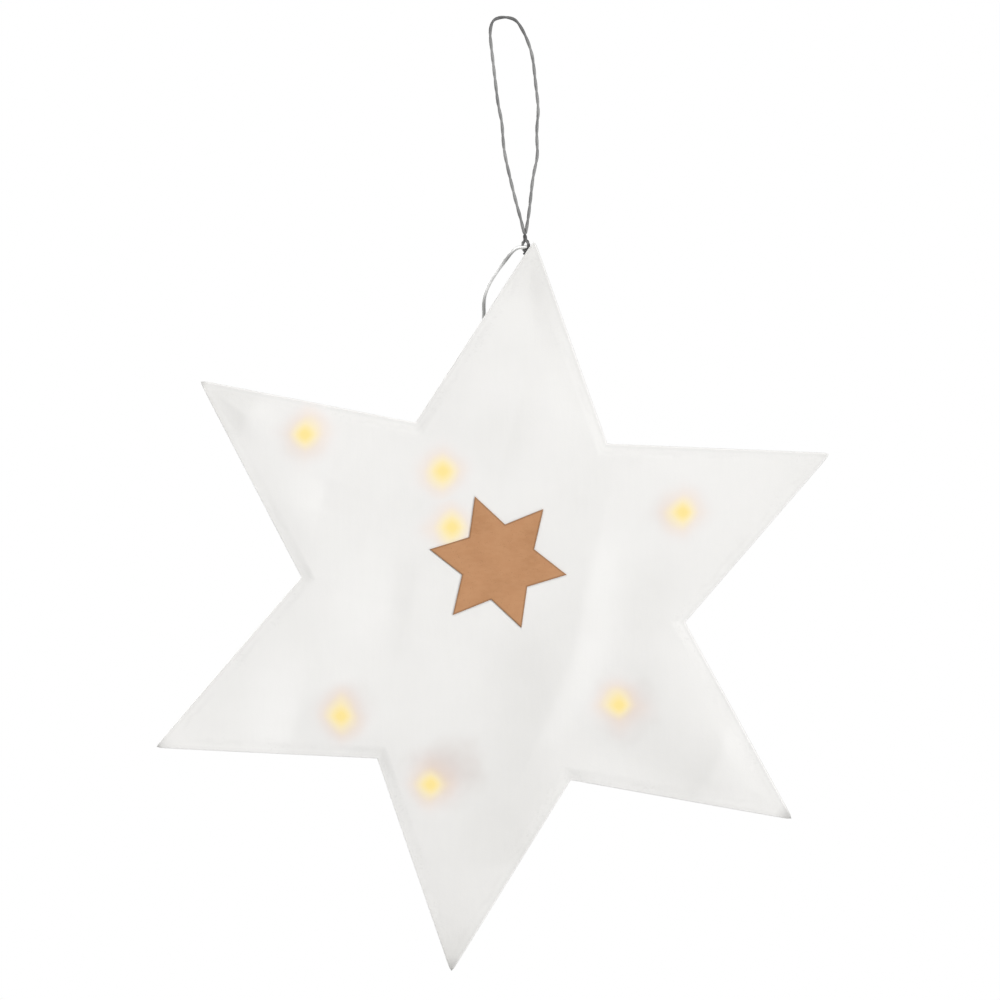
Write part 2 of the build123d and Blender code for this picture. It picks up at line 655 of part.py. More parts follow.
cover_face = (BOX * Pos(0, BOX_DEPTH, (SWITCH_TOP + BOX_LENGTH / 2) / 2)).position
knob_place = (BOX * Pos(KNOB_TRAVEL / 2, BOX_DEPTH, SWITCH_Z)).position
print("nodes", len(nodes))
print("eye axis through", EYE_X, 0, EYE_Z)
print("star centre", STAR_X, -BOW_SETBACK, STAR_Z)
cover_length = BOX_LENGTH / 2 - SWITCH_TOP - COVER_CLEARANCE
print("cover face", tuple(cover_face), "size", 2 * PANEL_HALF, cover_length)
print("knob", tuple(knob_place))
print("box", BOX_WIDTH, BOX_LENGTH, BOX_DEPTH)
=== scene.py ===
# %% [markdown]
# # A paper star that hangs from a wire loop
# This lesson dresses a finished construction model. The real object is a flat star of thin white paper, drawn
# over a wire frame. Small warm lights shine through the paper, a little star of brown paper is glued on the
# front, a battery box sits on the back, and a loop of twisted wire carries everything.
# The frame holds every solid at its real size, in metres. None of them is moved here: a piece that needs a
# softer or finer shape is built beside the frame and then stands in for its solid.

# %% Load the frame
import json
import math

import bmesh
import bpy
import numpy as np
from mathutils import Matrix, Vector, noise
from mathutils.bvhtree import BVHTree

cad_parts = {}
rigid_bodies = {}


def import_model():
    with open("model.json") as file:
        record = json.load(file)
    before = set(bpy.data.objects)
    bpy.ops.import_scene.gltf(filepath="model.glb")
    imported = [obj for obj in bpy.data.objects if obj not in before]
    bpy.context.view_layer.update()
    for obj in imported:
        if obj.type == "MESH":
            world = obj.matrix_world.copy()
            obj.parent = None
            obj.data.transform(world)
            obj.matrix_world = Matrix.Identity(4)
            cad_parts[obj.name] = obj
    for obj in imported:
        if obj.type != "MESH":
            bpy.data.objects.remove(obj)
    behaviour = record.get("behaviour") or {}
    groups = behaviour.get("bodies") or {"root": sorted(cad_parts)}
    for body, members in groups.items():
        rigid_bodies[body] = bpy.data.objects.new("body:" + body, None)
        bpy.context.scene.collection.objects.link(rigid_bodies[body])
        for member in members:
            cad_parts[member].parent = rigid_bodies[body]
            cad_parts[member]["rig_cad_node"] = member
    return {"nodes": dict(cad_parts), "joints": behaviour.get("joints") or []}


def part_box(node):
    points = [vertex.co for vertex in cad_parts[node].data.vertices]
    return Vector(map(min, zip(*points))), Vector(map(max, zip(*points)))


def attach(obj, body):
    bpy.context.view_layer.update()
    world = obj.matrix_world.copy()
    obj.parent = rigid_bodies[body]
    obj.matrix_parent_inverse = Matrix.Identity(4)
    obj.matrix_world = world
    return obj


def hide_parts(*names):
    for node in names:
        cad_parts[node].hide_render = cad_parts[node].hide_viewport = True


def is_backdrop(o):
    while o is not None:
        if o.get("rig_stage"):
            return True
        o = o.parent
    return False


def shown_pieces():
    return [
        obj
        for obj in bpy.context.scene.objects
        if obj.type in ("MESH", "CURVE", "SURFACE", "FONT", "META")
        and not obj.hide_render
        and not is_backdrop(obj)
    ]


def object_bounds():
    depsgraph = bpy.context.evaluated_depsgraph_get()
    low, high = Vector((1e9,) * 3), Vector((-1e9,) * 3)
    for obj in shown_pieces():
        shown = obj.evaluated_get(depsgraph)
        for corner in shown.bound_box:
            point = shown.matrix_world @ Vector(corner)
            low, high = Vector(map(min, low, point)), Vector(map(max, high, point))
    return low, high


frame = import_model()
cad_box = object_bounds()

MM = 0.001
SCENE = bpy.context.scene


def in_mm(box):
    """A box's corners in millimetres, rounded for reading."""
    return [[round(v / MM, 1) for v in corner] for corner in box]


print("CAD box, mm:", in_mm(cad_box))

# %% [markdown]
# ## The star's own axes
# The star hangs a few degrees askew, so it is easier to draw it upright about its own centre and turn it at
# the end. A star with six points looks the same after half a turn, so the middle of its box is its centre,
# and the battery cover slides along the star's own upright, which gives the lean.

# %% The star's own axes
TIP = 165 * MM
NOTCH = 87 * MM
POINTS = 6
EDGES = 2 * POINTS
SECTOR = math.pi / POINTS


def half_angle(tip, notch):
    """Half the angle of a star's points."""
    return math.atan2(notch * math.sin(SECTOR), tip - notch * math.cos(SECTOR))


TIP_HALF = half_angle(TIP, NOTCH)
EDGE_REACH = TIP * math.sin(TIP_HALF)

front_low, front_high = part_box("front_paper")
CENTRE = Vector(((front_low.x + front_high.x) / 2, front_high.y, (front_low.z + front_high.z) / 2))
SHEET_DEPTH = front_high.y - front_low.y
slide = next(joint for joint in frame["joints"] if joint["name"] == "cover_slide")
UP = Vector(slide["axis"]).normalized()
RIGHT = Vector((UP.z, 0, -UP.x))
HANG = Matrix.Translation(CENTRE) @ Matrix((RIGHT, (0, 1, 0), UP)).transposed().to_4x4()


def hung(x, z):
    """A point of the upright star, where it hangs."""
    return HANG @ Vector((x, 0, z))


def box_middle(node):
    low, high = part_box(node)
    return (low + high) / 2


lights = {index: box_middle(f"led_lens_{index:02d}") for index in range(1, 11)}
front_lights = [spot for spot in lights.values() if spot.y < CENTRE.y]
back_lights = [spot for spot in lights.values() if spot.y > CENTRE.y]
lean = math.degrees(math.atan2(UP.x, UP.z))
print(f"lean {lean:.1f} degrees, {len(front_lights)} lights face the front and {len(back_lights)} the back")

# %% [markdown]
# ## Sums that become nodes
# Node trees are clumsy to build link by link. Here one small class wraps an output socket, so that plain
# arithmetic on it adds Math nodes: 1 - mask is a Subtract node, and mask.ease(0.2, 0.6) is a soft step.

# %% Sums that become nodes
class Out:
    """One output socket. Arithmetic on it adds Math nodes to its tree."""

    def __init__(self, tree, socket):
        self.tree = tree
        self.socket = socket

    def out(self, name):
        """Another output of the same node."""
        return Out(self.tree, self.socket.node.outputs[name])

    def maths(self, operation, *others):
        return self.tree.maths(operation, self, *others)

    def __add__(self, other):
        return self.maths("ADD", other)

    def __sub__(self, other):
        return self.maths("SUBTRACT", other)

    def __rsub__(self, other):
        return self.tree.maths("SUBTRACT", other, self)

    def __mul__(self, other):
        return self.maths("MULTIPLY", other)

    def __truediv__(self, other):
        return self.maths("DIVIDE", other)

    def __rtruediv__(self, other):
        return self.tree.maths("DIVIDE", other, self)

    def __pow__(self, other):
        return self.maths("POWER", other)

    __radd__ = __add__
    __rmul__ = __mul__

    def least(self, other):
        return self.maths("MINIMUM", other)

    def most(self, other):
        return self.maths("MAXIMUM", other)

    def ease(self, low, high):
        """0 below low, 1 above high and a smooth step between."""
        settings = {"interpolation_type": "SMOOTHSTEP"}
        sockets = {"Value": self, "From Min": low, "From Max": high}
        return self.tree.node("ShaderNodeMapRange", settings, sockets)

    def band(self, middle, half):
        """1 on middle, falling to 0 at half to either side."""
        return 1 - (self - middle).maths("ABSOLUTE").ease(0.0, half)


print("node sums ready")

# %% [markdown]
# ## One method for every node
# Any other node comes from one method, which takes its kind, its settings and its sockets. The nodes that are
# needed most have a short name that goes through that method. The same two classes serve materials, the world
# and Geometry Nodes.

# %% One method for every node
class Tree:
    """Adds nodes to one node tree: a kind, its settings first, then the values or links of its sockets."""

    def __init__(self, node_tree):
        self.node_tree = node_tree
        node_tree.nodes.clear()

    def node(self, kind, settings=None, sockets=None):
        made = self.node_tree.nodes.new(kind)
        for name, value in (settings or {}).items():
            if name == "stops":
                self.set_stops(made.color_ramp, value)
            else:
                setattr(made, name, value)
        for key, value in (sockets or {}).items():
            for each in value if isinstance(value, list) else [value]:
                if isinstance(each, Out):
                    self.node_tree.links.new(each.socket, made.inputs[key])
                else:
                    made.inputs[key].default_value = each
        return Out(self, made.outputs[0]) if made.outputs else None

    def set_stops(self, ramp, stops):
        ramp.interpolation = "CARDINAL"
        for index, (place, colour) in enumerate(stops):
            element = ramp.elements[index] if index < len(ramp.elements) else ramp.elements.new(place)
            element.position = place
            element.color = colour

    def maths(self, operation, *values):
        return self.node("ShaderNodeMath", {"operation": operation}, dict(enumerate(values)))

    def vector(self, operation, *values):
        return self.node("ShaderNodeVectorMath", {"operation": operation}, dict(enumerate(values)))

    def scaled(self, vector, factor):
        """A vector times a number."""
        return self.node("ShaderNodeVectorMath", {"operation": "SCALE"}, {0: vector, "Scale": factor})

    def parts(self, vector):
        """A vector's numbers, as the outputs X, Y and Z."""
        return self.node("ShaderNodeSeparateXYZ", {}, {0: vector})

    def mix(self, factor, first, second, blend="MIX"):
        """A colour between two colours."""
        settings = {"data_type": "RGBA", "blend_type": blend}
        made = self.node("ShaderNodeMix", settings, {0: factor, 6: first, 7: second})
        return Out(self, made.socket.node.outputs[2])


def rgb(red, green, blue):
    return (red, green, blue, 1.0)


WHITE = rgb(1, 1, 1)
print("node tree helpers ready")

# %% [markdown]
# ## Camera
# The photograph looks straight at the star, with a long lens, and its frame is as wide as it is high. A lens
# is chosen by the width that it has to show at the star's front, so the picture fits with no trial and error.

# %% Camera
PICTURE_WIDTH = 450.8 * MM
PICTURE_MIDDLE = Vector((-2.25 * MM, front_low.y, -216.9 * MM))
CAMERA_DISTANCE = 2.2
SENSOR = 36.0

camera_data = bpy.data.cameras.new("camera")
camera_data.sensor_width = SENSOR
camera_data.lens = SENSOR * CAMERA_DISTANCE / PICTURE_WIDTH
camera = bpy.data.objects.new("camera", camera_data)
camera.location = PICTURE_MIDDLE - Vector((0, CAMERA_DISTANCE, 0))
camera.rotation_euler = (math.pi / 2, 0, 0)
SCENE.collection.objects.link(camera)
SCENE.camera = camera
SCENE.view_settings.view_transform = "Standard"
print(f"lens {camera_data.lens:.0f} mm at {CAMERA_DISTANCE} m")

# %% [markdown]
# ## Room and floor
# The picture is bright and nearly shadowless, on white. A white world would wash out the paper, so the world
# is white only where the camera or a shiny wire looks at it, and a plain grey where it lights the star. The
# floor does the same, and keeps part of its own shading so that the star's shadow stays on it.

# %% Room and floor
ROOM_LIGHT = 0.36
FLOOR_DROP = 180 * MM
FLOOR_RADIUS = 0.9
FLOOR_GREY = rgb(0.78, 0.78, 0.78)
FLOOR_SEEN_LIGHT = 1.1
FLOOR_SEEN_SHARE = 0.8


def seen_directly(tree):
    """1 for rays from the camera, or mirrored or let through by a surface."""
    path = tree.node("ShaderNodeLightPath")
    return path.most(path.out("Is Glossy Ray")).most(path.out("Is Transmission Ray"))


def make_world():
    world = bpy.data.worlds.new("room")
    world.use_nodes = True
    SCENE.world = world
    tree = Tree(world.node_tree)
    grey = rgb(ROOM_LIGHT, ROOM_LIGHT, ROOM_LIGHT)
    light = tree.node("ShaderNodeBackground", {}, {"Color": tree.mix(seen_directly(tree), grey, WHITE)})
    tree.node("ShaderNodeOutputWorld", {}, {"Surface": light})


def new_paint(name):
    """A new material and its tree."""
    material = bpy.data.materials.new(name)
    material.use_nodes = True
    return material, Tree(material.node_tree)


def make_floor():
    material, tree = new_paint("pale_floor")
    matt = tree.node("ShaderNodeBsdfDiffuse", {}, {"Color": FLOOR_GREY})
    bright = tree.node("ShaderNodeEmission", {}, {"Color": WHITE, "Strength": FLOOR_SEEN_LIGHT})
    share = seen_directly(tree) * FLOOR_SEEN_SHARE
    surface = tree.node("ShaderNodeMixShader", {}, {0: share, 1: matt, 2: bright})
    tree.node("ShaderNodeOutputMaterial", {}, {"Surface": surface})
    shape = bmesh.new()
    bmesh.ops.create_circle(shape, cap_ends=True, segments=96, radius=FLOOR_RADIUS)
    mesh = bpy.data.meshes.new("floor")
    shape.to_mesh(mesh)
    shape.free()
    mesh.materials.append(material)
    mesh.transform(Matrix.Translation((CENTRE.x, CENTRE.y, cad_box[0].z - FLOOR_DROP)))
    floor = bpy.data.objects.new("floor", mesh)
    SCENE.collection.objects.link(floor)
    floor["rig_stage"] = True


make_world()
make_floor()
print(f"room light {ROOM_LIGHT}, floor {FLOOR_DROP / MM:.0f} mm below the star")

# %% [markdown]
# ## Lamps
# White paper shows its folds only where light comes from one side, so a lamp stands far off on the right,
# where it lights the left point as much as the right one. A nearer lamp above fades towards the bottom point,
# as in the photograph, and the room fills in the rest. One lamp stands behind the star for its back, and a
# small one low on the left catches only the rims.

# %% Lamps
# Place and width in metres, power in watts
LAMPS = {
    "side_lamp": ((6.0, -5.3, 1.0), 2.0, 330.0),
    "top_lamp": ((-0.3, -1.25, 1.05), 0.6, 11.6),
    "back_lamp": ((-0.9, 1.2, 0.3), 0.9, 14.0),
    "rim_lamp": ((-1.3, 0.3, -0.45), 0.5, 2.6),
}


def soft_lamp(name, place, size, power):
    """A square lamp that looks at the star's centre."""
    data = bpy.data.lights.new(name, "AREA")
    data.size = size
    data.energy = power
    lamp = bpy.data.objects.new(name, data)
    lamp.location = place
    lamp.rotation_euler = (CENTRE - lamp.location).to_track_quat("-Z", "Y").to_euler()
    SCENE.collection.objects.link(lamp)


for name, lamp in LAMPS.items():
    soft_lamp(name, *lamp)

# %% [markdown]
# ## From node tree to plain mesh
# A Geometry Nodes tree gives a shape that follows a rule, with its sizes as named inputs. Each tree runs once
# on a helper object, and its evaluated result is kept as a plain mesh.

# %% From node tree to plain mesh
FLOAT = "NodeSocketFloat"
INT = "NodeSocketInt"


def geometry_tree(name, labels):
    """A new tree with one named input for each size. Returns it with its group input."""
    group = bpy.data.node_groups.new(name, "GeometryNodeTree")
    group.interface.new_socket("Geometry", in_out="INPUT", socket_type="NodeSocketGeometry")
    for label, kind in labels.items():
        group.interface.new_socket(label, in_out="INPUT", socket_type=kind)
    group.interface.new_socket("Geometry", in_out="OUTPUT", socket_type="NodeSocketGeometry")
    tree = Tree(group)
    return tree, tree.node("NodeGroupInput")


def close_tree(tree, geometry, material):
    """Ends a tree: smooth faces, no instances left, and the material."""
    geometry = tree.node("GeometryNodeSetShadeSmooth", {}, {"Geometry": geometry})
    geometry = tree.node("GeometryNodeRealizeInstances", {}, {"Geometry": geometry})
    geometry = tree.node("GeometryNodeSetMaterial", {}, {"Geometry": geometry, "Material": material})
    tree.node("NodeGroupOutput", {}, {0: geometry})
    return tree.node_tree


def link_piece(name, data):
    data.name = name
    piece = bpy.data.objects.new(name, data)
    SCENE.collection.objects.link(piece)
    return piece


def keep_result(holder):
    """The plain mesh that a helper object comes to. The helper goes."""
    graph = bpy.context.evaluated_depsgraph_get()
    mesh = bpy.data.meshes.new_from_object(holder.evaluated_get(graph), depsgraph=graph)
    bpy.data.objects.remove(holder)
    return mesh


def grow(name, group, sizes, start=None):
    """Runs a tree on a start mesh and keeps the result as a piece with no modifier."""
    holder = link_piece(name + "_holder", start or bpy.data.meshes.new(name + "_start"))
    modifier = holder.modifiers.new("grow", "NODES")
    modifier.node_group = group
    for item in group.interface.items_tree:
        if item.in_out == "INPUT" and item.name in sizes:
            modifier[item.identifier] = sizes[item.name]
    return link_piece(name, keep_result(holder))


print("tree helpers ready")

# %% [markdown]
# ## Tools for paint
# Every finish here ends in one Principled shader, and most of its variation comes from a noise in real
# measures. All the pieces sit at the origin, so their object coordinates are metres in the frame, and a
# distance in a finish is a distance on the star.

# %% Tools for paint
def close_paint(material, tree, sockets):
    """Ends a material with a Principled shader."""
    surface = tree.node("ShaderNodeBsdfPrincipled", {}, sockets)
    tree.node("ShaderNodeOutputMaterial", {}, {"Surface": surface})
    return material


def place_of(tree):
    return tree.node("ShaderNodeTexCoord").out("Object")


def stored(tree, name):
    """A value that the points of the mesh carry."""
    return tree.node("ShaderNodeAttribute", {"attribute_name": name}).out("Fac")


def grain(tree, scale, detail=2.0, stretch=(1, 1, 1)):
    """A noise of about scale grains in a metre, drawn out by stretch."""
    place = tree.node("ShaderNodeMapping", {}, {"Vector": place_of(tree), "Scale": stretch})
    return tree.node("ShaderNodeTexNoise", {}, {"Vector": place, "Scale": scale, "Detail": detail})


def bumpy(tree, height, distance):
    return tree.node("ShaderNodeBump", {}, {"Height": height, "Distance": distance, "Strength": 1.0})


def seen_reach(tree, place, spot):
    """The distance to a point, seen from the front."""
    flat = tree.vector("MULTIPLY", place, (1, 0, 1))
    return tree.vector("DISTANCE", flat, (spot.x, 0, spot.z)).out("Value")


print("paint helpers ready")

# %% [markdown]
# ## Light through the paper
# A light that touches the sheet from behind shows as a yellow core that fades into the paper over about 19
# millimetres. Real light through paper is slow to render and is lost on export, so the glow is painted: the
# distance to the nearest light drives a ramp for the paper's colour and another for the light that it gives
# off. That distance counts longer on the diagonals, which gives each glow four short arms, and noise makes it
# uneven. Beside five of the lights a brownish shadow of the light's sleeve, which lies on the paper, is
# painted.

# %% Light through the paper
GLOW_REACH = 19 * MM
GLOW_ARMS = 0.22
GLOW_WOBBLE = 7 * MM
STEADY_CORE = (1 * MM, 9 * MM)
# Share of the reach, colour of the paper there, and the light that it gives off
GLOW_STOPS = [
    (0.00, rgb(0.44, 0.38, 0.17), rgb(0.54, 0.41, 0.15)),
    (0.12, rgb(0.46, 0.40, 0.20), rgb(0.525, 0.41, 0.17)),
    (0.25, rgb(0.64, 0.57, 0.385), rgb(0.325, 0.270, 0.165)),
    (0.44, rgb(0.815, 0.748, 0.665), rgb(0.085, 0.068, 0.052)),
    (0.66, rgb(0.850, 0.812, 0.783), rgb(0.018, 0.013, 0.010)),
    (1.00, rgb(0.872, 0.865, 0.848), rgb(0.0, 0.0, 0.0)),
]
# Light number, then the middle of the painted sleeve shadow from it, its radius (all in millimetres) and its
# strength
SLEEVE_SHADOWS = [
    (4, (6, 7), 21, 0.66),
    (3, (3, -1), 19, 0.42),
    (5, (2, 4), 18, 0.30),
    (8, (-1, 0), 16, 0.10),
    (2, (-11, -1), 13, 0.14),
]
SLEEVE_SHADE = rgb(0.81, 0.735, 0.71)
SHADOW_WANDER = 14 * MM


def sparkle(tree, place, spots):
    """The distance to the nearest light, counted longer on the diagonals."""
    least = None
    for spot in spots:
        part = tree.parts(tree.vector("SUBTRACT", place, tuple(spot)))
        across = part.out("X")
        up = part.out("Z")
        reach = (across * across + up * up) ** 0.5
        slant = (across * up).maths("ABSOLUTE") / reach.most(0.01 * MM)
        reach = reach + slant * GLOW_ARMS
        least = reach if least is None else least.least(reach)
    return least


def glow_share(tree, place, spots):
    """0 on a light, and 1 where its glow has faded into the paper."""
    away = sparkle(tree, place, spots)
    wobble = (grain(tree, 75, 0.5) - 0.5) * GLOW_WOBBLE * away.ease(*STEADY_CORE)
    return ((away + wobble) / GLOW_REACH).most(0.0)


def painted_sleeve_shadow(tree, place, glow, index, offset, radius, strength):
    """How far one painted sleeve shadow darkens the paper, outside the light's core."""
    across, up = offset
    middle = lights[index] + RIGHT * across * MM + UP * up * MM
    reach = seen_reach(tree, place, middle) + (grain(tree, 70) - 0.5) * SHADOW_WANDER
    return (1 - reach.ease(0.1 * radius * MM, radius * MM)) * glow.ease(0.08, 0.42) * strength


print(f"glow reaches {GLOW_REACH / MM:.0f} mm, {len(SLEEVE_SHADOWS)} sleeve patches")

# %% [markdown]
# ## Marks of the wire
# The wire frame shows through as a dark dot in most of the tips, with a wider painted shade round three of
# them. Along the outline the paper is drawn over the wire and glued, which leaves a faint crease with painted
# shade in it, a line of glue that wanders, and a few grey scuffs. The sheets carry each point's distance to
# their outline in millimetres, so these marks follow the outline with no painting by hand.

# %% Marks of the wire
# How far each outline corner lies off the even star, to the right and up in millimetres, clockwise from the
# top tip
CORNER_SHIFT = [
    (0.2, -0.1), (-0.2, 1.4), (1.6, 1.6), (0.4, 0.5), (3.4, -0.2), (0.6, -0.8),
    (0.3, -4.1), (-0.4, -1.0), (-1.6, -0.5), (-0.2, 1.1), (-0.5, 2.0), (-0.4, 1.1),
]
# How plainly the wire shows in each tip, and the painted shade round it, clockwise from the top tip
TIP_DARKNESS = [0.0, 0.08, 0.60, 0.62, 0.50, 0.32]
TIP_SHADE = [0.0, 0.0, 0.42, 0.35, 0.18, 0.0]
TIP_MARK_CORE = 0.2 * MM
TIP_MARK_RADIUS = 3.8 * MM
TIP_SHADE_RADIUS = 8.5 * MM
TIP_BLUNT = 1.4 * MM
# Distances to the outline in millimetres, and how grey each mark is; the crease's grey is painted shade
CREASE_AT, CREASE_HALF, CREASE_SHADE_GREY = 1.3, 1.0, 0.06
HEM_AT, HEM_HALF, HEM_GREY = 3.9, 1.5, 0.05
HEM_WANDER = 6.0
SCUFF_FADE, SCUFF_GREY = (1.5, 9.0), 0.12


def tip_dots_and_shade(tree, place):
    """How dark the wire's corner makes each tip, with a painted shade round some of them."""
    dark = None
    inner = TIP - TIP_BLUNT
    for index, (strength, shade) in enumerate(zip(TIP_DARKNESS, TIP_SHADE)):
        clock = index * 2 * SECTOR
        across, up = CORNER_SHIFT[2 * index]
        spot = hung(inner * math.sin(clock) + across * MM, inner * math.cos(clock) + up * MM)
        reach = seen_reach(tree, place, spot)
        mark = (1 - reach.ease(TIP_MARK_CORE, TIP_MARK_RADIUS)) * strength
        mark = mark.most((1 - reach.ease(TIP_MARK_CORE, TIP_SHADE_RADIUS)) * shade)
        dark = mark if dark is None else dark.most(mark)
    return dark


def edge_marks_and_crease_shade(tree, inset):
    """How grey the crease's painted shade, the line of glue and the scuffs make the paper."""
    crease = inset.band(CREASE_AT, CREASE_HALF)
    ragged = inset + (grain(tree, 150, 3.0) - 0.5) * HEM_WANDER
    hem = ragged.band(HEM_AT, HEM_HALF) * grain(tree, 90).ease(0.42, 0.62)
    scuffs = grain(tree, 800, 3.0).ease(0.52, 0.68) * (1 - inset.ease(*SCUFF_FADE))
    scuffs = scuffs * grain(tree, 60).ease(0.42, 0.62)
    return (hem * HEM_GREY).most(scuffs * SCUFF_GREY).most(crease * CREASE_SHADE_GREY)


print("tips with a dot:", sum(strength > 0 for strength in TIP_DARKNESS))

# %% [markdown]
# ## White paper
# The sheets are thin white paper, a little cloudy and fibrous. Their folds show as soft shades, and that
# shade
# is painted: the points of a sheet carry a painted shade of their own, lighter or darker, which is added to
# the paper's tone. The very rim gives off a little painted light, so that no dark line runs round the star.

# %% White paper
PAPER_SHADE = rgb(0.720, 0.711, 0.690)
PAPER_WHITE = rgb(0.930, 0.922, 0.905)
EDGE_GREY = rgb(0.42, 0.415, 0.40)
TIP_GREY = rgb(0.16, 0.158, 0.15)
RIM_GLOW = rgb(0.10, 0.10, 0.098)
PLAIN_TONE = 0.60
CLOUD_TONE = 0.10
FIBRE_TONE = 0.075
FOLD_TONE = 0.87


def make_paper(name, spots, patches):
    material, tree = new_paint(name)
    place = place_of(tree)
    inset = stored(tree, "inset_mm")
    fibres = grain(tree, 420, 3.0, (1, 1, 0.18))
    tone = grain(tree, 26, 3.0).ease(0.3, 0.7) * CLOUD_TONE + fibres * FIBRE_TONE + PLAIN_TONE
    # The painted shade of the folds and strokes goes into the paper's tone
    paper = tree.mix(tone + stored(tree, "fold_shade") * FOLD_TONE, PAPER_SHADE, PAPER_WHITE)
    paper = tree.mix(edge_marks_and_crease_shade(tree, inset), paper, EDGE_GREY)
    paper = tree.mix(tip_dots_and_shade(tree, place), paper, TIP_GREY)
    glow = glow_share(tree, place, spots)
    tints = [(share, tint) for share, tint, given in GLOW_STOPS]
    givens = [(share, given) for share, tint, given in GLOW_STOPS]
    tint = tree.node("ShaderNodeValToRGB", {"stops": tints}, {"Fac": glow})
    given = tree.node("ShaderNodeValToRGB", {"stops": givens}, {"Fac": glow})
    colour = tree.mix(glow.ease(0.45, 1.05), tint, paper)
    # Painted shadows of the lights' sleeves
    for patch in patches:
        shade = painted_sleeve_shadow(tree, place, glow, *patch)
        colour = tree.mix(shade, colour, SLEEVE_SHADE, "MULTIPLY")
    sockets = {
        "Base Color": colour,
        "Roughness": 0.82 + fibres * 0.12,
        "Specular IOR Level": 0.25,
        "Emission Color": tree.mix(1 - inset.ease(0.3, 0.7), given, RIM_GLOW, "ADD"),
        "Emission Strength": 1.0,
        "Normal": bumpy(tree, fibres * 0.6 + grain(tree, 1500) * 0.4, 0.05 * MM),
    }
    return close_paint(material, tree, sockets)


front_paper_paint = make_paper("glowing_front_paper", front_lights, SLEEVE_SHADOWS)
back_paper_paint = make_paper("glowing_back_paper", back_lights, [])
print("paper paints:", front_paper_paint.name, back_paper_paint.name)

# %% [markdown]
# ## A star sheet by rule
# A stretched star is a rule in itself: every line that runs at one distance inside the outline is the same
# star at a smaller size. So a flat grid is rolled up into rings. Its long side runs round the outline, its
# short side from the outline to the centre, with more rings at the rim, where the paper bends over the wire.
# The height follows from that distance alone: a round rim over the wire, and a flat sheet inside it. One tree
# makes the front sheet, the back sheet and the small brown star.

# %% A star sheet by rule
RIM_RING_SHARE = 0.22
RIM_HEIGHT = 2.3 * MM
SHEET_SIZES = {
    "Columns": 40 * EDGES + 1,
    "Rings": 85,
    "Tip Radius": TIP,
    "Notch Radius": NOTCH,
    "Edge Reach": EDGE_REACH,
    "Rim Width": 0.5 * MM,
    "Rim Height": RIM_HEIGHT,
}


def corner(size, index):
    """The place of an outline corner, counted clockwise from the top tip."""
    odd = index.maths("FLOORED_MODULO", 2.0)
    reach = size.out("Tip Radius") + (size.out("Notch Radius") - size.out("Tip Radius")) * odd
    clock = index * SECTOR
    return reach * clock.maths("SINE"), reach * clock.maths("COSINE")


def star_sheet_tree(name, material):
    labels = {label: INT if label in ("Columns", "Rings") else FLOAT for label in SHEET_SIZES}
    tree, size = geometry_tree(name, {**labels, "Front": FLOAT})
    counts = {"Vertices X": size.out("Columns"), "Vertices Y": size.out("Rings")}
    grid = tree.node("GeometryNodeMeshGrid", {}, {"Size X": 1.0, "Size Y": 1.0, **counts})
    spot = tree.parts(tree.node("GeometryNodeInputPosition"))
    turn = (spot.out("X") + 0.5) * EDGES
    edge = turn.maths("FLOOR")
    share = turn - edge
    start_x, start_z = corner(size, edge)
    end_x, end_z = corner(size, edge + 1)
    ring = spot.out("Y") + 0.5
    inset = size.out("Edge Reach") * ring * (RIM_RING_SHARE + ring * (1 - RIM_RING_SHARE))
    shrink = 1 - inset / size.out("Edge Reach")
    bend = 1 - (inset / size.out("Rim Width")).least(1.0)
    lift = size.out("Rim Height") * (1 - bend * bend) ** 0.5
    x = (start_x + (end_x - start_x) * share) * shrink
    z = (start_z + (end_z - start_z) * share) * shrink
    place = tree.node("ShaderNodeCombineXYZ", {}, {"X": x, "Y": 0 - lift * size.out("Front"), "Z": z})
    marks = {"Geometry": grid, "Name": "inset_mm", "Value": inset / MM}
    sheet = tree.node("GeometryNodeStoreNamedAttribute", {"data_type": "FLOAT"}, marks)
    sheet = tree.node("GeometryNodeSetPosition", {}, {"Geometry": sheet, "Position": place})
    sheet = tree.node("GeometryNodeMergeByDistance", {}, {"Geometry": sheet, "Distance": 0.02 * MM})
    return close_tree(tree, sheet, material)


front_tree = star_sheet_tree("front_star_sheet", front_paper_paint)
front_sheet = grow("front_sheet", front_tree, {**SHEET_SIZES, "Front": 1.0})
back_tree = star_sheet_tree("back_star_sheet", back_paper_paint)
back_sheet = grow("back_sheet", back_tree, {**SHEET_SIZES, "Front": -1.0})
print("front sheet faces", len(front_sheet.data.polygons), "back", len(back_sheet.data.polygons))

# %% [markdown]
# ## Fold lines
# Stretched paper is never quite flat. Each soft fold in the photograph is dark on one side and bright on the
# other, with a sharp line between: that is a crest, where the paper turns from one gentle slope to another.
# Noise alone would scatter such folds anywhere, so the main ones are drawn as short lines in millimetres from
# the star's centre, and their shade is painted as well as shaped. Wide soft strokes add painted light and
# painted shade over wider places.

# %% Fold lines
# Points from top to bottom, reach to the left and to the right, and strength: dark on the left, or where it
# is below 0 dark on the right
FRONT_FOLDS = [
    ([(45, 40), (41, 10), (39, -18), (33, -40), (26, -62)], 14, 11, 0.10),
    ([(109, -42), (108, -58), (100, -76)], 14, 12, 0.09),
    ([(-111, 79), (-119, 70), (-122, 60)], 9, 10, 0.11),
    ([(-80, 46), (-81, 38), (-82, 30)], 10, 7, -0.08),
    ([(-80, -50), (-81, -62), (-84, -76)], 11, 9, -0.08),
    ([(-46, 8), (-45, -14)], 12, 7, -0.05),
    ([(-35, 6), (-36, -12), (-38, -28)], 7, 8, 0.06),
    ([(1, 88), (-1, 74), (-3, 60)], 8, 10, -0.06),
    ([(0, 154), (2, 138), (4, 122)], 7, 9, -0.04),
    ([(24, 118), (12, 121), (4, 119)], 8, 8, -0.05),
    ([(-2, -88), (-3, -112)], 9, 8, -0.03),
    ([(34, -108), (14, -116), (-2, -118)], 8, 9, 0.05),
]
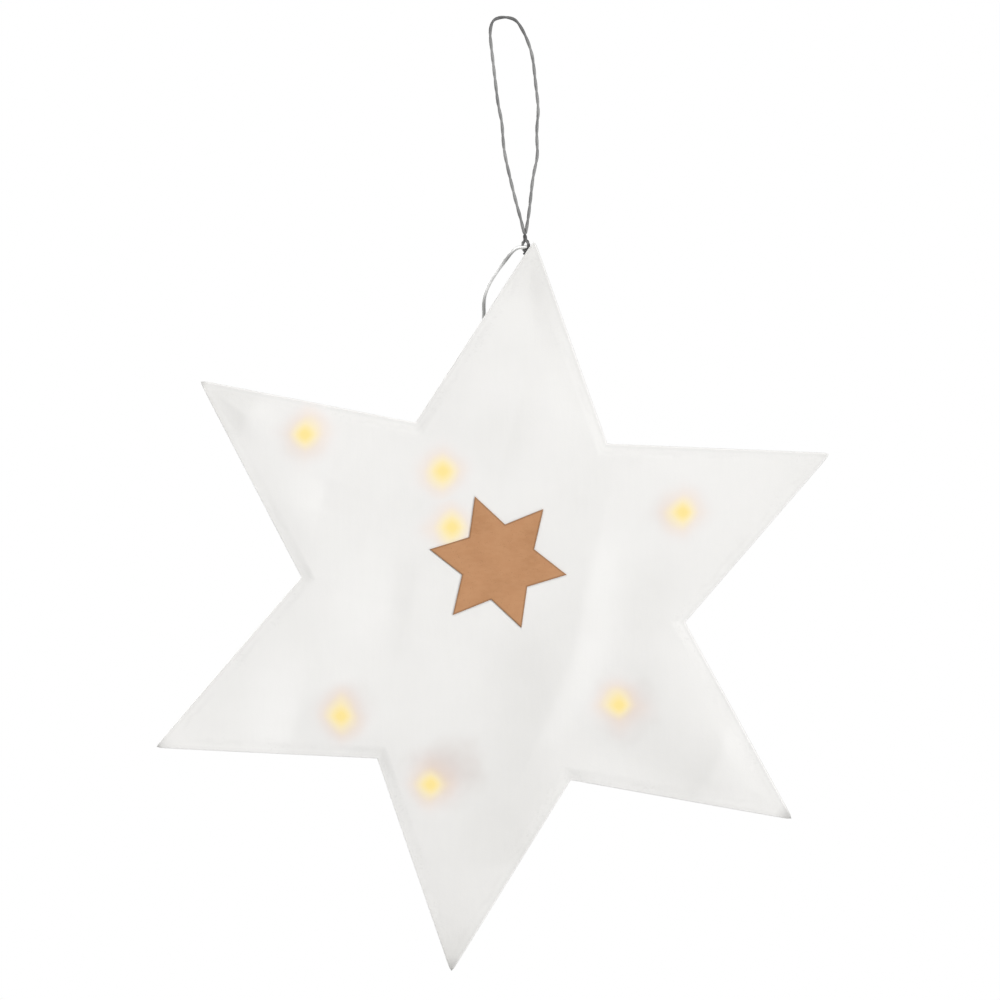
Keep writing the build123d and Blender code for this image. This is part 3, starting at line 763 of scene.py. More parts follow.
BACK_FOLDS = [
    ([(-60, 60), (-66, 20), (-58, -30)], 14, 12, 0.08),
    ([(-20, 110), (-26, 70)], 10, 14, -0.07),
    ([(70, 66), (78, 30)], 12, 10, 0.08),
    ([(-30, -60), (-18, -110)], 12, 12, 0.09),
    ([(60, -30), (84, -66)], 14, 10, -0.08),
    ([(-112, 66), (-124, 52)], 14, 9, 0.10),
]
# Points, radius and strength: painted light, or painted shade where it is below 0
FRONT_STROKES = [
    ([(18, -22), (22, -60), (24, -104)], 18, -0.28),
    ([(-6, -78), (2, -130)], 28, -0.22),
    ([(69, 12), (66, -34)], 12, -0.14),
    ([(66, -32), (62, -50)], 13, -0.26),
    ([(80, -57), (98, -66)], 15, -0.20),
    ([(-132, 77), (-122, 66)], 9, -0.25),
    ([(-39, 8), (-38, -24)], 7, -0.10),
    ([(6, 148), (12, 126)], 9, -0.14),
    ([(-6, 78), (-4, 62)], 9, -0.13),
    ([(-34, 62), (-30, 24)], 16, -0.07),
    ([(0, -160), (0, -172)], 17, -0.64),
    ([(0, 160), (1, 146)], 12, -0.20),
    ([(47, 24), (51, -4), (44, -32), (32, -56)], 8, 0.14),
    ([(-110, 66), (-97, 46), (-88, 34)], 11, 0.14),
    ([(-76, 8), (-60, -16)], 17, 0.12),
    ([(-90, -40), (-93, -68)], 12, 0.14),
    ([(112, 74), (86, 40)], 22, 0.10),
    ([(122, -68), (113, -50)], 10, 0.09),
]
print("folds:", len(FRONT_FOLDS), "front,", len(BACK_FOLDS), "back; strokes:", len(FRONT_STROKES))

# %% [markdown]
# ## The shape of a fold
# A fold's height falls off on both sides of its line, at its own pace on each side, with a slightly rounded
# crest. Its shade changes sign across the line. Both fade out towards the line's ends.

# %% The shape of a fold
CREST_ROUND = 1.8
FOLD_RISE = 0.45


def smooth_step(value, low, high):
    share = np.clip((value - low) / (high - low), 0, 1)
    return share * share * (3 - 2 * share)


def follow(x, z, points):
    """The distance to a line of points, the same with a side, and the share of its length, in millimetres."""
    nearest = np.full(len(x), np.inf)
    signed = np.zeros(len(x))
    along = np.zeros(len(x))
    runs = [math.dist(a, b) for a, b in zip(points, points[1:])]
    done = 0.0
    for (x0, z0), (x1, z1), run in zip(points, points[1:], runs):
        share = np.clip(((x - x0) * (x1 - x0) + (z - z0) * (z1 - z0)) / run**2, 0, 1)
        reach = np.hypot(x - x0 - share * (x1 - x0), z - z0 - share * (z1 - z0))
        side = np.sign((x - x0) * (z0 - z1) + (z - z0) * (x1 - x0))
        closer = reach < nearest
        nearest[closer] = reach[closer]
        signed[closer] = (side * reach)[closer]
        along[closer] = ((done + share * run) / sum(runs))[closer]
        done += run
    return nearest, signed, along


def fold_shape(x, z, points, left, right, strength):
    """The height of one fold and its shade, dark below 0, at places given in millimetres."""
    reach, signed, along = follow(x, z, points)
    width = np.where(signed < 0, left, right)
    crest = np.sqrt(reach**2 + CREST_ROUND**2) - CREST_ROUND
    taper = smooth_step(along, -0.25, 0.3) * (1 - smooth_step(along, 0.7, 1.25))
    hump = np.exp(-crest / width) * taper * strength
    return FOLD_RISE * 0.5 * (left + right) * hump, np.tanh(signed / CREST_ROUND) * hump


crest_x, crest_z = np.array(FRONT_FOLDS[0][0], float).T
crest_heights = fold_shape(crest_x, crest_z, *FRONT_FOLDS[0])[0]
print(f"the first fold is {crest_heights.max():.2f} mm high")

# %% [markdown]
# ## Slack and bent corners
# The paper bellies out where there is most of it, which a blurred picture of the star tells. The wire was
# bent by hand, so no corner is quite where an even star has it: the whole sheet moves with its corners. At
# the tips the paper goes round the wire, so they end blunt.

# %% Slack and bent corners
SLACK_BLUR = 18
MAP_REACH = 200
TIP_BEND = (15 * MM, 40 * MM)


def slack_map():
    """How much star lies round each cell of a millimetre grid, from 0 to 1: a blurred star."""
    line = np.arange(-MAP_REACH, MAP_REACH + 1)
    x, z = np.meshgrid(line, line, indexing="ij")
    clock = np.arctan2(x, z) % (2 * SECTOR)
    clock = np.minimum(clock, 2 * SECTOR - clock)
    inside = np.hypot(x, z) * np.cos(clock + TIP_HALF - math.pi / 2) < EDGE_REACH / MM
    kernel = np.exp(-0.5 * (np.arange(-3 * SLACK_BLUR, 3 * SLACK_BLUR + 1) / SLACK_BLUR) ** 2)
    kernel /= kernel.sum()
    blurred = np.apply_along_axis(np.convolve, 0, inside.astype(float), kernel, "same")
    return np.apply_along_axis(np.convolve, 1, blurred, kernel, "same")


def read_map(values, x, z):
    """The value of a millimetre map between its cells."""
    column = np.clip(x / MM + MAP_REACH, 0, 2 * MAP_REACH - 1)
    row = np.clip(z / MM + MAP_REACH, 0, 2 * MAP_REACH - 1)
    i = column.astype(int)
    j = row.astype(int)
    a = column - i
    b = row - j
    near = values[i, j] * (1 - a) + values[i + 1, j] * a
    far = values[i, j + 1] * (1 - a) + values[i + 1, j + 1] * a
    return near * (1 - b) + far * b


def corner_shifts(x, z, shrink):
    """How far each point moves with the outline's corners."""
    turn = (np.arctan2(x, z) % math.tau) / SECTOR
    edge = np.floor(turn).astype(int) % EDGES
    corners = np.array([[math.sin(k * SECTOR), math.cos(k * SECTOR)] for k in range(EDGES)])
    corners *= np.where(np.arange(EDGES) % 2, NOTCH, TIP)[:, None]
    start = corners[edge]
    run = corners[(edge + 1) % EDGES] - start
    scaled = np.column_stack([x, z]) / np.maximum(shrink, 1e-6)[:, None]
    share = np.clip(((scaled - start) * run).sum(1) / (run**2).sum(1), 0, 1)[:, None]
    shifts = np.array(CORNER_SHIFT) * MM
    return (shifts[edge] * (1 - share) + shifts[(edge + 1) % EDGES] * share) * shrink[:, None]


def blunt_tips(x, z):
    """How far each point near a tip moves inwards."""
    moved = np.zeros((len(x), 2))
    for index in range(POINTS):
        way = np.array([math.sin(2 * index * SECTOR), math.cos(2 * index * SECTOR)])
        tip = way * TIP + np.array(CORNER_SHIFT[2 * index]) * MM
        short = (tip - np.column_stack([x, z])) @ way
        near = 1 - smooth_step(short, *TIP_BEND)
        moved -= ((np.hypot(short, TIP_BLUNT) - short) * near)[:, None] * way
    return moved


star_round = slack_map()
print(f"star round the centre {star_round[MAP_REACH, MAP_REACH]:.2f}, most is {star_round.max():.2f}")

# %% [markdown]
# ## A mesh's points as an array
# A sheet has about forty thousand points, and asking Blender for one at a time is slow. So all of them are
# read into one array, changed together and written back. The sheets are open, so their faces may look either
# way, and a last helper turns them outwards.

# %% A mesh's points as an array
def points_of(mesh):
    co = np.empty(len(mesh.vertices) * 3, np.float32)
    mesh.vertices.foreach_get("co", co)
    return co.reshape(-1, 3).astype(float)


def set_points(mesh, co):
    mesh.vertices.foreach_set("co", co.astype(np.float32).ravel())
    mesh.update()


def face_towards(mesh, way):
    """Turns all faces of an open sheet so that they look along +Y or -Y."""
    total = sum(face.normal.y * face.area for face in mesh.polygons)
    if total * way < 0:
        mesh.flip_normals()


print("points in the front sheet:", len(points_of(front_sheet.data)))

# %% [markdown]
# ## Settle the sheets
# Now each flat sheet gets its height: the belly, the folds, a small unevenness from a fixed noise, and a rise
# over each light, like a tent over its pole. Then its corners move, it is turned to hang askew like the star,
# and its faces look outwards. A Solidify modifier gives the paper its thickness on the inner side.

# %% Settle the sheets
CROWN = SHEET_DEPTH - RIM_HEIGHT
CROWN_RISE = (0.0, 6.0)
CROWN_SLACK = (0.4, 1.0)
FOLD_FADE = (3.0, 13.0)
UNEVEN_HEIGHT = 0.55 * MM
UNEVEN_SCALE = 22.0
UNEVEN_SLICE = 3.7
TENT_RADIUS = 14 * MM
TENT_TOP = SHEET_DEPTH + 0.15 * MM
PAPER_THICKNESS = 0.3 * MM


def unevenness(x, z):
    """A slow unevenness from fixed noise, between -1 and 1."""
    spots = np.column_stack([x * UNEVEN_SCALE, z * UNEVEN_SCALE])
    return np.array([noise.noise((a, UNEVEN_SLICE, b)) for a, b in spots])


def settle_sheet(piece, way, folds, strokes, tents):
    """Gives an upright sheet its height and shade, and hangs it. Way is 1 for the front."""
    mesh = piece.data
    x, y, z = points_of(mesh).T
    inset = np.empty(len(x), np.float32)
    mesh.attributes["inset_mm"].data.foreach_get("value", inset)
    fade = smooth_step(inset, *FOLD_FADE)
    slack = smooth_step(read_map(star_round, x, z), *CROWN_SLACK)
    lift = slack * CROWN * smooth_step(inset, *CROWN_RISE) - y * way
    shade = np.zeros(len(x))
    for fold in folds:
        rise, turned = fold_shape(x / MM, z / MM, *fold)
        lift += rise * MM * fade
        shade += turned
    for points, radius, strength in strokes:
        shade += strength * np.exp(-((follow(x / MM, z / MM, points)[0] / radius) ** 2))
    # The painted shade of the folds and strokes, which the paper's finish adds to its tone
    mark = mesh.attributes.new("fold_shade", "FLOAT", "POINT")
    mark.data.foreach_set("value", shade.astype(np.float32))
    lift += unevenness(x, z) * UNEVEN_HEIGHT * fade
    for spot in tents:
        pole = HANG.inverted() @ spot
        reach = np.hypot(x - pole.x, z - pole.z)
        missing = max(0.0, TENT_TOP - lift[np.argmin(reach)])
        lift += missing * np.exp(-((reach / TENT_RADIUS) ** 2))
    moved = corner_shifts(x, z, 1 - inset * MM / EDGE_REACH)
    moved += blunt_tips(x + moved[:, 0], z + moved[:, 1])
    set_points(mesh, np.column_stack([x + moved[:, 0], -lift * way, z + moved[:, 1]]))
    mesh.transform(HANG)
    face_towards(mesh, -way)


def thicken(piece, thickness):
    """Gives an open sheet its thickness, on its inner side."""
    solid = piece.modifiers.new("thickness", "SOLIDIFY")
    solid.thickness = thickness
    solid.offset = -1.0


settle_sheet(front_sheet, 1, FRONT_FOLDS, FRONT_STROKES, front_lights)
settle_sheet(back_sheet, -1, BACK_FOLDS, [], back_lights)
for sheet in (front_sheet, back_sheet):
    thicken(sheet, PAPER_THICKNESS)
    depth = points_of(sheet.data)[:, 1] / MM
    print(f"{sheet.name}: y from {depth.min():.2f} to {depth.max():.2f} mm")

# %% [markdown]
# ## The small brown star
# It is cut from brown wrapping paper and glued on the front. The same tree draws it at its own size, flat.
# Its height then comes from the sheet below, found by looking straight back at the sheet from each of its
# points, so that it lies on the paper's folds. Wrapping paper has long fibres, darker specks and a dark cut
# edge, partly its own colour and partly a painted shadow, which follows the distance to the outline that the
# tree has stored.

# %% The small brown star
BROWN_TIP = 31.4 * MM
BROWN_NOTCH = 17.2 * MM
BROWN_PLACE = (0.4 * MM, 0, 18.1 * MM)
BROWN_TURN = math.radians(-26)
BROWN_LIFT = 0.12 * MM
BROWN_THICKNESS = 0.35 * MM
LOOK_FROM = front_low.y - 20 * MM
KRAFT_DARK = rgb(0.470, 0.232, 0.107)
KRAFT_LIGHT = rgb(0.530, 0.270, 0.131)
KRAFT_FIBRE = rgb(0.585, 0.325, 0.17)
KRAFT_SPECK = rgb(0.34, 0.17, 0.08)
KRAFT_CUT_AND_SHADOW = rgb(0.21, 0.105, 0.05)


def make_brown_paper():
    material, tree = new_paint("brown_paper")
    fibres = grain(tree, 520, 4.0, (0.5, 1, 1))
    specks = grain(tree, 1600, 1.0).ease(0.66, 0.74)
    # The dark cut edge, partly its own colour and partly a painted shadow
    cut_and_shadow = 1 - stored(tree, "inset_mm").ease(0.1, 1.0)
    colour = tree.mix(grain(tree, 60, 3.0).ease(0.3, 0.7), KRAFT_DARK, KRAFT_LIGHT)
    colour = tree.mix(fibres.ease(0.35, 0.7) * 0.28, colour, KRAFT_FIBRE)
    colour = tree.mix(specks * 0.4, colour, KRAFT_SPECK)
    sockets = {
        "Base Color": tree.mix(cut_and_shadow * 0.6, colour, KRAFT_CUT_AND_SHADOW),
        "Roughness": 0.7 + fibres * 0.2,
        "Specular IOR Level": 0.3,
        "Normal": bumpy(tree, fibres, 0.04 * MM),
    }
    return close_paint(material, tree, sockets)


def lay_on_sheet(piece, sheet):
    """Sets each point of a piece just in front of the sheet behind it."""
    tree = BVHTree.FromObject(sheet, bpy.context.evaluated_depsgraph_get())
    co = points_of(piece.data)
    for point in co:
        hit = tree.ray_cast(Vector((point[0], LOOK_FROM, point[2])), Vector((0, 1, 0)))[0]
        point[1] = hit.y
    middle = co[:, 1].mean()
    co[:, 1] = np.minimum(co[:, 1], middle) - BROWN_LIFT
    set_points(piece.data, co)


brown_sizes = {
    "Columns": 12 * EDGES + 1,
    "Rings": 24,
    "Tip Radius": BROWN_TIP,
    "Notch Radius": BROWN_NOTCH,
    "Edge Reach": BROWN_TIP * math.sin(half_angle(BROWN_TIP, BROWN_NOTCH)),
    "Rim Width": 1 * MM,
    "Rim Height": 0.0,
    "Front": 1.0,
}
brown_star = grow("brown_star", star_sheet_tree("brown_star_sheet", make_brown_paper()), brown_sizes)
brown_star.data.transform(Matrix.Rotation(BROWN_TURN, 4, "Y"))
brown_star.data.transform(HANG @ Matrix.Translation(BROWN_PLACE))
lay_on_sheet(brown_star, front_sheet)
face_towards(brown_star.data, -1)
brown_star.data.transform(Matrix.Translation((0, -BROWN_THICKNESS, 0)))
thicken(brown_star, BROWN_THICKNESS)
print("brown star faces", len(brown_star.data.polygons))

# %% [markdown]
# ## Wire
# All the wire here is dull drawn steel. The loop's wire is darker, with grey patches of old zinc. Painted
# shade makes it almost black in the neck, and it is also almost black on the lower right of the eye and
# darker towards its top. The bow behind the tip is brighter, and darker near the eye and towards the lower
# weld. Metal takes its look from what it mirrors, so the colours stay plain and the roughness varies along
# the wire.

# %% Wire
EYE = Vector((9.0 * MM, 0, -102.5 * MM))
ZINC_DARK = rgb(0.17, 0.17, 0.17)
ZINC_LIGHT = rgb(0.25, 0.25, 0.247)
DARKENED_BLACK = rgb(0.045, 0.045, 0.045)
BOW_DARK = rgb(0.58, 0.58, 0.575)
BOW_LIGHT = rgb(0.69, 0.69, 0.68)
BOW_DARKER = rgb(0.30, 0.30, 0.295)
# Heights between which a mark comes or goes
TOP_DARKENING = (-16 * MM, -3 * MM)
EYE_TOP = (-100.5 * MM, -99 * MM)
WELD_DARKENING = (-129 * MM, -121.5 * MM)
# Middle height of a mark and its reach up and down
NECK_SHADE = (EYE.z + 4.9 * MM, 3.6 * MM)
EYE_DARKENING = (-107.5 * MM, 5 * MM)


def wire_finish(material, tree, colour, rough, patches):
    scratches = grain(tree, 2600, 2.0, (1, 1, 0.15))
    sockets = {
        "Base Color": colour,
        "Metallic": 1.0,
        "Roughness": rough + patches * 0.18,
        "Normal": bumpy(tree, scratches, 0.008 * MM),
    }
    return close_paint(material, tree, sockets)


def make_loop_paint():
    """Zinc grey, darker at the loop's top and on the lower right of the eye, with painted shade in the neck.
    """
    material, tree = new_paint("zinc_wire")
    patches = grain(tree, 70)
    spot = tree.parts(place_of(tree))
    height = spot.out("Z")
    low_right = (spot.out("X") - EYE.x) * 0.8 - (height - EYE.z) * 0.6
    round_eye = low_right.ease(-0.6 * MM, 1.4 * MM) * (1 - height.ease(*EYE_TOP))
    # The neck's darkening is painted shade
    darkened = height.band(*NECK_SHADE).most(round_eye).most(height.ease(*TOP_DARKENING) * 0.5)
    colour = tree.mix(patches.ease(0.35, 0.65), ZINC_DARK, ZINC_LIGHT)
    return wire_finish(material, tree, tree.mix(darkened * 0.82, colour, DARKENED_BLACK), 0.52, patches)


def make_bow_paint():
    material, tree = new_paint("bright_wire")
    patches = grain(tree, 240, 3.0)
    height = tree.parts(place_of(tree)).out("Z")
    darkening = (1 - height.ease(*WELD_DARKENING)).most(height.band(*EYE_DARKENING))
    colour = tree.mix(patches.ease(0.3, 0.7), BOW_DARK, BOW_LIGHT)
    return wire_finish(material, tree, tree.mix(darkening, colour, BOW_DARKER), 0.34, patches)


loop_paint = make_loop_paint()
bow_paint = make_bow_paint()
print("wire paints:", loop_paint.name, bow_paint.name)

# %% [markdown]
# ## Twisted wire along a route
# The loop is two thin wires twisted together. A route gives its line: a few listed points, smoothed by a
# NURBS curve. The tree walks along that line, moves each strand off it by a small circle that turns with the
# length, and gives it a round section. The same tree with one strand and no offset makes a plain wire.

# %% Twisted wire along a route
TWISTED = {
    "Wire Radius": 0.56 * MM,
    "Strand Offset": 0.21 * MM,
    "Twist Pitch": 13.0 * MM,
    "Step": 0.55 * MM,
    "Sides": 12,
}


def route_mesh(name, points):
    """The line of a NURBS curve with these control points, as a mesh of edges."""
    data = bpy.data.curves.new(name, "CURVE")
    data.dimensions = "3D"
    data.resolution_u = 12
    spline = data.splines.new("NURBS")
    spline.points.add(len(points) - 1)
    for control, point in zip(spline.points, points):
        control.co = (*point, 1.0)
    spline.order_u = 3
    spline.use_endpoint_u = True
    return keep_result(link_piece(name, data))


def wire_tree(name, strands, material):
    labels = {label: INT if label == "Sides" else FLOAT for label in TWISTED}
    tree, size = geometry_tree(name, labels)
    line = tree.node("GeometryNodeMeshToCurve", {}, {"Mesh": size})
    steps = {"Curve": line, "Length": size.out("Step")}
    line = tree.node("GeometryNodeResampleCurve", {"mode": "LENGTH"}, steps)
    ring = {"Resolution": size.out("Sides"), "Radius": size.out("Wire Radius")}
    ring = tree.node("GeometryNodeCurvePrimitiveCircle", {}, ring)
    length = tree.node("GeometryNodeSplineParameter").out("Length")
    normal = tree.node("GeometryNodeInputNormal")
    across = tree.vector("CROSS_PRODUCT", tree.node("GeometryNodeInputTangent"), normal)
    reach = size.out("Strand Offset")
    tubes = []
    for index in range(strands):
        angle = length / size.out("Twist Pitch") * math.tau + index * math.tau / strands
        along_normal = tree.scaled(normal, reach * angle.maths("COSINE"))
        along_across = tree.scaled(across, reach * angle.maths("SINE"))
        offset = tree.vector("ADD", along_normal, along_across)
        strand = tree.node("GeometryNodeSetPosition", {}, {"Geometry": line, "Offset": offset})
        tube = {"Curve": strand, "Profile Curve": ring, "Fill Caps": True}
        tubes.append(tree.node("GeometryNodeCurveToMesh", {}, tube))
    return close_tree(tree, tree.node("GeometryNodeJoinGeometry", {}, {"Geometry": tubes}), material)


twisted_tree = wire_tree("twisted_wire", 2, loop_paint)
print("wire inputs:", list(TWISTED))

# %% [markdown]
# ## The loop
# The loop is a long, narrow bend of the twisted wire, shaped by hand: no side is straight, and it leans to
# the left as it rises. Its points go up the left side, over the top and down the right side, in the frame's
# own axes but in millimetres, and both ends run into the neck.

# %% The loop
RING_MIDDLE = EYE + Vector((0.3 * MM, 0, 0.75 * MM))
RING_RADIUS = 2.35 * MM
NECK_LOW = RING_MIDDLE.z + RING_RADIUS
NECK_ENTRY = NECK_LOW + 3.2 * MM
STRAND_APART = 0.35 * MM
LOOP_POINTS = [
    (7.7, -91.6), (5.0, -82.1), (1.8, -69.0), (-0.2, -60.0), (-0.9, -54.0), (-1.3, -46.0), (-3.1, -38.0),
    (-3.9, -31.6), (-5.1, -21.1), (-6.3, -11.1), (-6.9, -4.8), (-5.8, 0.2),
    (-2.6, 1.7), (1.2, 1.8),
    (5.0, 0.6), (7.6, -3.3), (10.2, -8.6), (12.6, -16.0), (13.8, -28.0), (15.3, -40.2), (14.4, -47.1),
    (14.4, -54.0), (14.9, -61.0), (12.6, -70.4), (11.3, -83.4), (10.0, -92.6),
]

left_end, right_end = [(EYE.x + side * STRAND_APART, 0, NECK_ENTRY) for side in (-1, 1)]
loop_route = [left_end, *[(x * MM, 0, z * MM) for x, z in LOOP_POINTS], right_end]
loop_strands = grow("twisted_loop", twisted_tree, TWISTED, route_mesh("loop_route", loop_route))
print("loop strand faces", len(loop_strands.data.polygons))

# %% [markdown]
# ## The neck and the eye
# Below the loop, the two strands are twisted tightly together into a neck, and their ends close into an eye
# that rides on the bow. The neck is the same twisted wire on a short straight route, and the eye is a ring
# that stands at an angle, so its route comes from a formula. The wire's cut end hangs a little below the eye.

# %% The neck and the eye
RING_TURN = math.radians(37)
EYE_STEPS = 14
EYE_ENDS = (NECK_LOW + 2.5 * MM, NECK_LOW + 1.5 * MM)
EYE_TAIL = [(1.6, -1.5, 1.4), (1.8, -2.0, -0.6), (1.0, -2.0, -2.2), (-0.4, -1.7, -3.3)]
NECK_SPAN = (NECK_LOW - 0.3 * MM, NECK_LOW + 4.2 * MM)
NECK_WIRE = {
    "Wire Radius": 0.48 * MM,
    "Strand Offset": 0.38 * MM,
    "Twist Pitch": 4.2 * MM,
    "Step": 0.3 * MM,
    "Sides": 12,
}
EYE_WIRE = {**TWISTED, "Twist Pitch": 5.0 * MM, "Step": 0.3 * MM}


def above_eye(height):
    return Vector((EYE.x, 0, height))


def eye_route():
    flat = Vector((math.sin(RING_TURN), -math.cos(RING_TURN), 0))
    points = [above_eye(EYE_ENDS[0])]
    for step in range(EYE_STEPS + 1):
        turn = (step + 0.5) / (EYE_STEPS + 1) * math.tau
        reach = flat * math.sin(turn) + Vector((0, 0, math.cos(turn)))
        points.append(RING_MIDDLE + reach * RING_RADIUS)
    return [*points, above_eye(EYE_ENDS[1])]


def join_pieces(first, *others):
    """Adds the meshes of other pieces to the first one."""
    shape = bmesh.new()
    for piece in (first, *others):
        shape.from_mesh(piece.data)
    shape.to_mesh(first.data)
    shape.free()
    for piece in others:
        bpy.data.objects.remove(piece)


neck_route = [above_eye(height) for height in NECK_SPAN]
tail_route = [EYE + Vector((x, y, z)) * MM for x, y, z in EYE_TAIL]
neck_wrap = grow("neck_wrap", twisted_tree, NECK_WIRE, route_mesh("neck_route", neck_route))
eye_ring = grow("eye_ring", twisted_tree, EYE_WIRE, route_mesh("eye_route", eye_route()))
eye_tail = grow("eye_tail", twisted_tree, EYE_WIRE, route_mesh("tail_route", tail_route))
join_pieces(loop_strands, neck_wrap, eye_ring, eye_tail)
print("loop, neck and eye faces", len(loop_strands.data.polygons))

# %% [markdown]
# ## The bow
# A bow of bright wire is welded to the frame behind the top point, a short leg at each end, and its straight
# top carries the eye. The construction model has it in runs and arcs. Here about the same points guide a
# smooth curve.

# %% The bow
NEAR_SEAT = hung(3.5 * MM, 151.6 * MM)
FAR_SEAT = hung(-18.3 * MM, 121.1 * MM)
LEG_ROOT = 1.0 * MM
LEG_BEND = 2.2 * MM
# The straight top, then the arc down to the far leg, to the right and up from the eye in millimetres
BOW_POINTS = [
    (4.4, 0), (1.5, 0), (-1.5, 0), (-3.0, 0),
    (-5.6, -1.6), (-8.9, -6.0), (-12.5, -10.6), (-15.9, -15.9),
    (-18.0, -20.8), (-18.7, -25.0), (-18.5, -31.0),
]
BOW_WIRE = {**TWISTED, "Wire Radius": 0.85 * MM, "Strand Offset": 0.0, "Step": 0.7 * MM, "Sides": 20}


def leg_points(seat):
    """From the weld on the frame straight back to the plane of the loop."""
    return [seat + Vector((0, LEG_ROOT, 0)), Vector((seat.x, -LEG_BEND, seat.z)), Vector((seat.x, 0, seat.z))]


top_and_arc = [EYE + Vector((x * MM, 0, z * MM)) for x, z in BOW_POINTS]
bow_route = [*leg_points(NEAR_SEAT), *top_and_arc, *reversed(leg_points(FAR_SEAT))]
plain_tree = wire_tree("plain_wire", 1, bow_paint)
bow_wire = grow("bow_wire", plain_tree, BOW_WIRE, route_mesh("bow_route", bow_route))
print("bow faces", len(bow_wire.data.polygons))

# %% [markdown]
# ## The battery box
# The box, its sliding cover and the switch plate are moulded in off-white plastic with a fine spark texture.
# The switch is black, the board behind it green, and the lead comes out through a rubber grommet. Their
# solids already have the right shape, so they stay and only get a finish.

# %% The battery box
# Darker and lighter colour, roughness, depth of the texture, and the solids that take the finish
BOX_SOLIDS = ["battery_housing", "battery_cover", "switch_deck"]
PLASTICS = {
    "box_plastic": (rgb(0.74, 0.735, 0.715), rgb(0.80, 0.795, 0.775), 0.42, 0.03 * MM, BOX_SOLIDS),
    "knob_plastic": (rgb(0.018, 0.018, 0.019), rgb(0.035, 0.035, 0.036), 0.40, 0.03 * MM, ["switch_knob"]),
    "board_green": (rgb(0.015, 0.10, 0.04), rgb(0.025, 0.15, 0.06), 0.35, 0.01 * MM, ["driver_board"]),
    "grommet_rubber": (rgb(0.015, 0.015, 0.015), rgb(0.03, 0.03, 0.03), 0.65, 0.02 * MM, ["lead_grommet"]),
}


def make_plastic(name, dark, light, rough, texture):
    material, tree = new_paint(name)
    sparks = grain(tree, 2200)
    sockets = {
        "Base Color": tree.mix(grain(tree, 45) * 0.7 + sparks * 0.3, dark, light),
        "Roughness": rough + sparks * 0.2,
        "Specular IOR Level": 0.4,
        "Normal": bumpy(tree, sparks, texture),
    }
    return close_paint(material, tree, sockets)


def paint_solids(material, solids):
    for name in solids:
        mesh = frame["nodes"][name].data
        mesh.materials.clear()
        mesh.materials.append(material)
    print(material.name, "on", len(solids))


for name, (*values, solids) in PLASTICS.items():
    paint_solids(make_plastic(name, *values), solids)

# %% [markdown]
# ## Foam tape
# A strip of white foam tape holds the box to the paper. It is squeezed between them, so its sides bulge a
# little and its cut face is rough. A block with rows of points round its sides is enough for that.

# %% Foam tape
FOAM_BULGE = 0.5 * MM
FOAM_ROUGH = 0.5
FOAM_GRAIN = 700
FOAM_ROWS = 7
FOAM_COLUMNS = 60
FOAM_DARK = rgb(0.62, 0.62, 0.60)
FOAM_LIGHT = rgb(0.82, 0.82, 0.80)


def foam_outline(low, high, share):
    """A point on the tape's outline, by its share of the way round, and its way outwards."""
    width = high.x - low.x
    height = high.z - low.z
    run = share * 2 * (width + height)
    if run < width:
        return low.x + run, low.z, 0, -1
    if run < width + height:
        return high.x, low.z + run - width, 1, 0
    if run < 2 * width + height:
        return high.x - (run - width - height), high.z, 0, 1
    return low.x, high.z - (run - 2 * width - height), -1, 0


def make_foam_paint():
    material, tree = new_paint("foam_tape")
    pores = tree.node("ShaderNodeTexVoronoi", {}, {"Vector": place_of(tree), "Scale": 2400.0})
    sockets = {
        "Base Color": tree.mix(pores.ease(0.0, 0.6), FOAM_DARK, FOAM_LIGHT),
        "Roughness": 0.95,
        "Normal": bumpy(tree, pores, 0.15 * MM),
    }
    return close_paint(material, tree, sockets)


def make_foam():
    """The tape upright about the star's centre, hung at the end."""
    inverse = HANG.inverted()
    local = np.array([inverse @ vertex.co for vertex in frame["nodes"]["foam_pad"].data.vertices])
    low, high = Vector(local.min(0)), Vector(local.max(0))
    shape = bmesh.new()
    rows = []
    for row in range(FOAM_ROWS):
        share = row / (FOAM_ROWS - 1)
        bulge = FOAM_BULGE * math.sin(share * math.pi)
        y = low.y + (high.y - low.y) * share
        ring = []
        for column in range(FOAM_COLUMNS):
            x, z, out_x, out_z = foam_outline(low, high, column / FOAM_COLUMNS)
            reach = bulge * (1 + FOAM_ROUGH * noise.noise((x * FOAM_GRAIN, share * 3, z * FOAM_GRAIN)))
            ring.append(shape.verts.new((x + out_x * reach, y, z + out_z * reach)))
        rows.append(ring)
    for lower, upper in zip(rows, rows[1:]):
        for column in range(FOAM_COLUMNS):
            after = (column + 1) % FOAM_COLUMNS
            shape.faces.new((lower[column], lower[after], upper[after], upper[column]))
    shape.faces.new(rows[0])
    shape.faces.new(rows[-1])
    bmesh.ops.recalc_face_normals(shape, faces=shape.faces)
    mesh = bpy.data.meshes.new("foam_tape")
    shape.to_mesh(mesh)
    shape.free()
    mesh.transform(HANG)
    mesh.materials.append(make_foam_paint())
    return link_piece("foam_tape", mesh)


foam_tape = make_foam()
print("foam tape faces", len(foam_tape.data.polygons))

# %% [markdown]
# ## Cells and contacts
# The cells lie inside the box, and show only when the cover slides off. Each has a plain blue-grey jacket
# with a pale band at its nub end, found from the height along the star's upright. Contacts and springs are
# nickel, and the switch has a tinned case. The star's wire frame is darker steel, painted the same way.

# %% Cells and contacts
CELL_BAND = (19 * MM, 4 * MM)
JACKET_TOP = (24.0 * MM, 24.2 * MM)
JACKET_FOOT = (-25.0 * MM, -24.8 * MM)
JACKET_BLUE = rgb(0.12, 0.17, 0.22)
JACKET_BAND = rgb(0.62, 0.63, 0.62)
CELL_STEEL = rgb(0.60, 0.59, 0.57)
SPRINGS = ["cell_spring_lower", "cell_spring_upper"]
CONTACTS = ["negative_contact", "positive_contact", "bridge_contact", *SPRINGS]
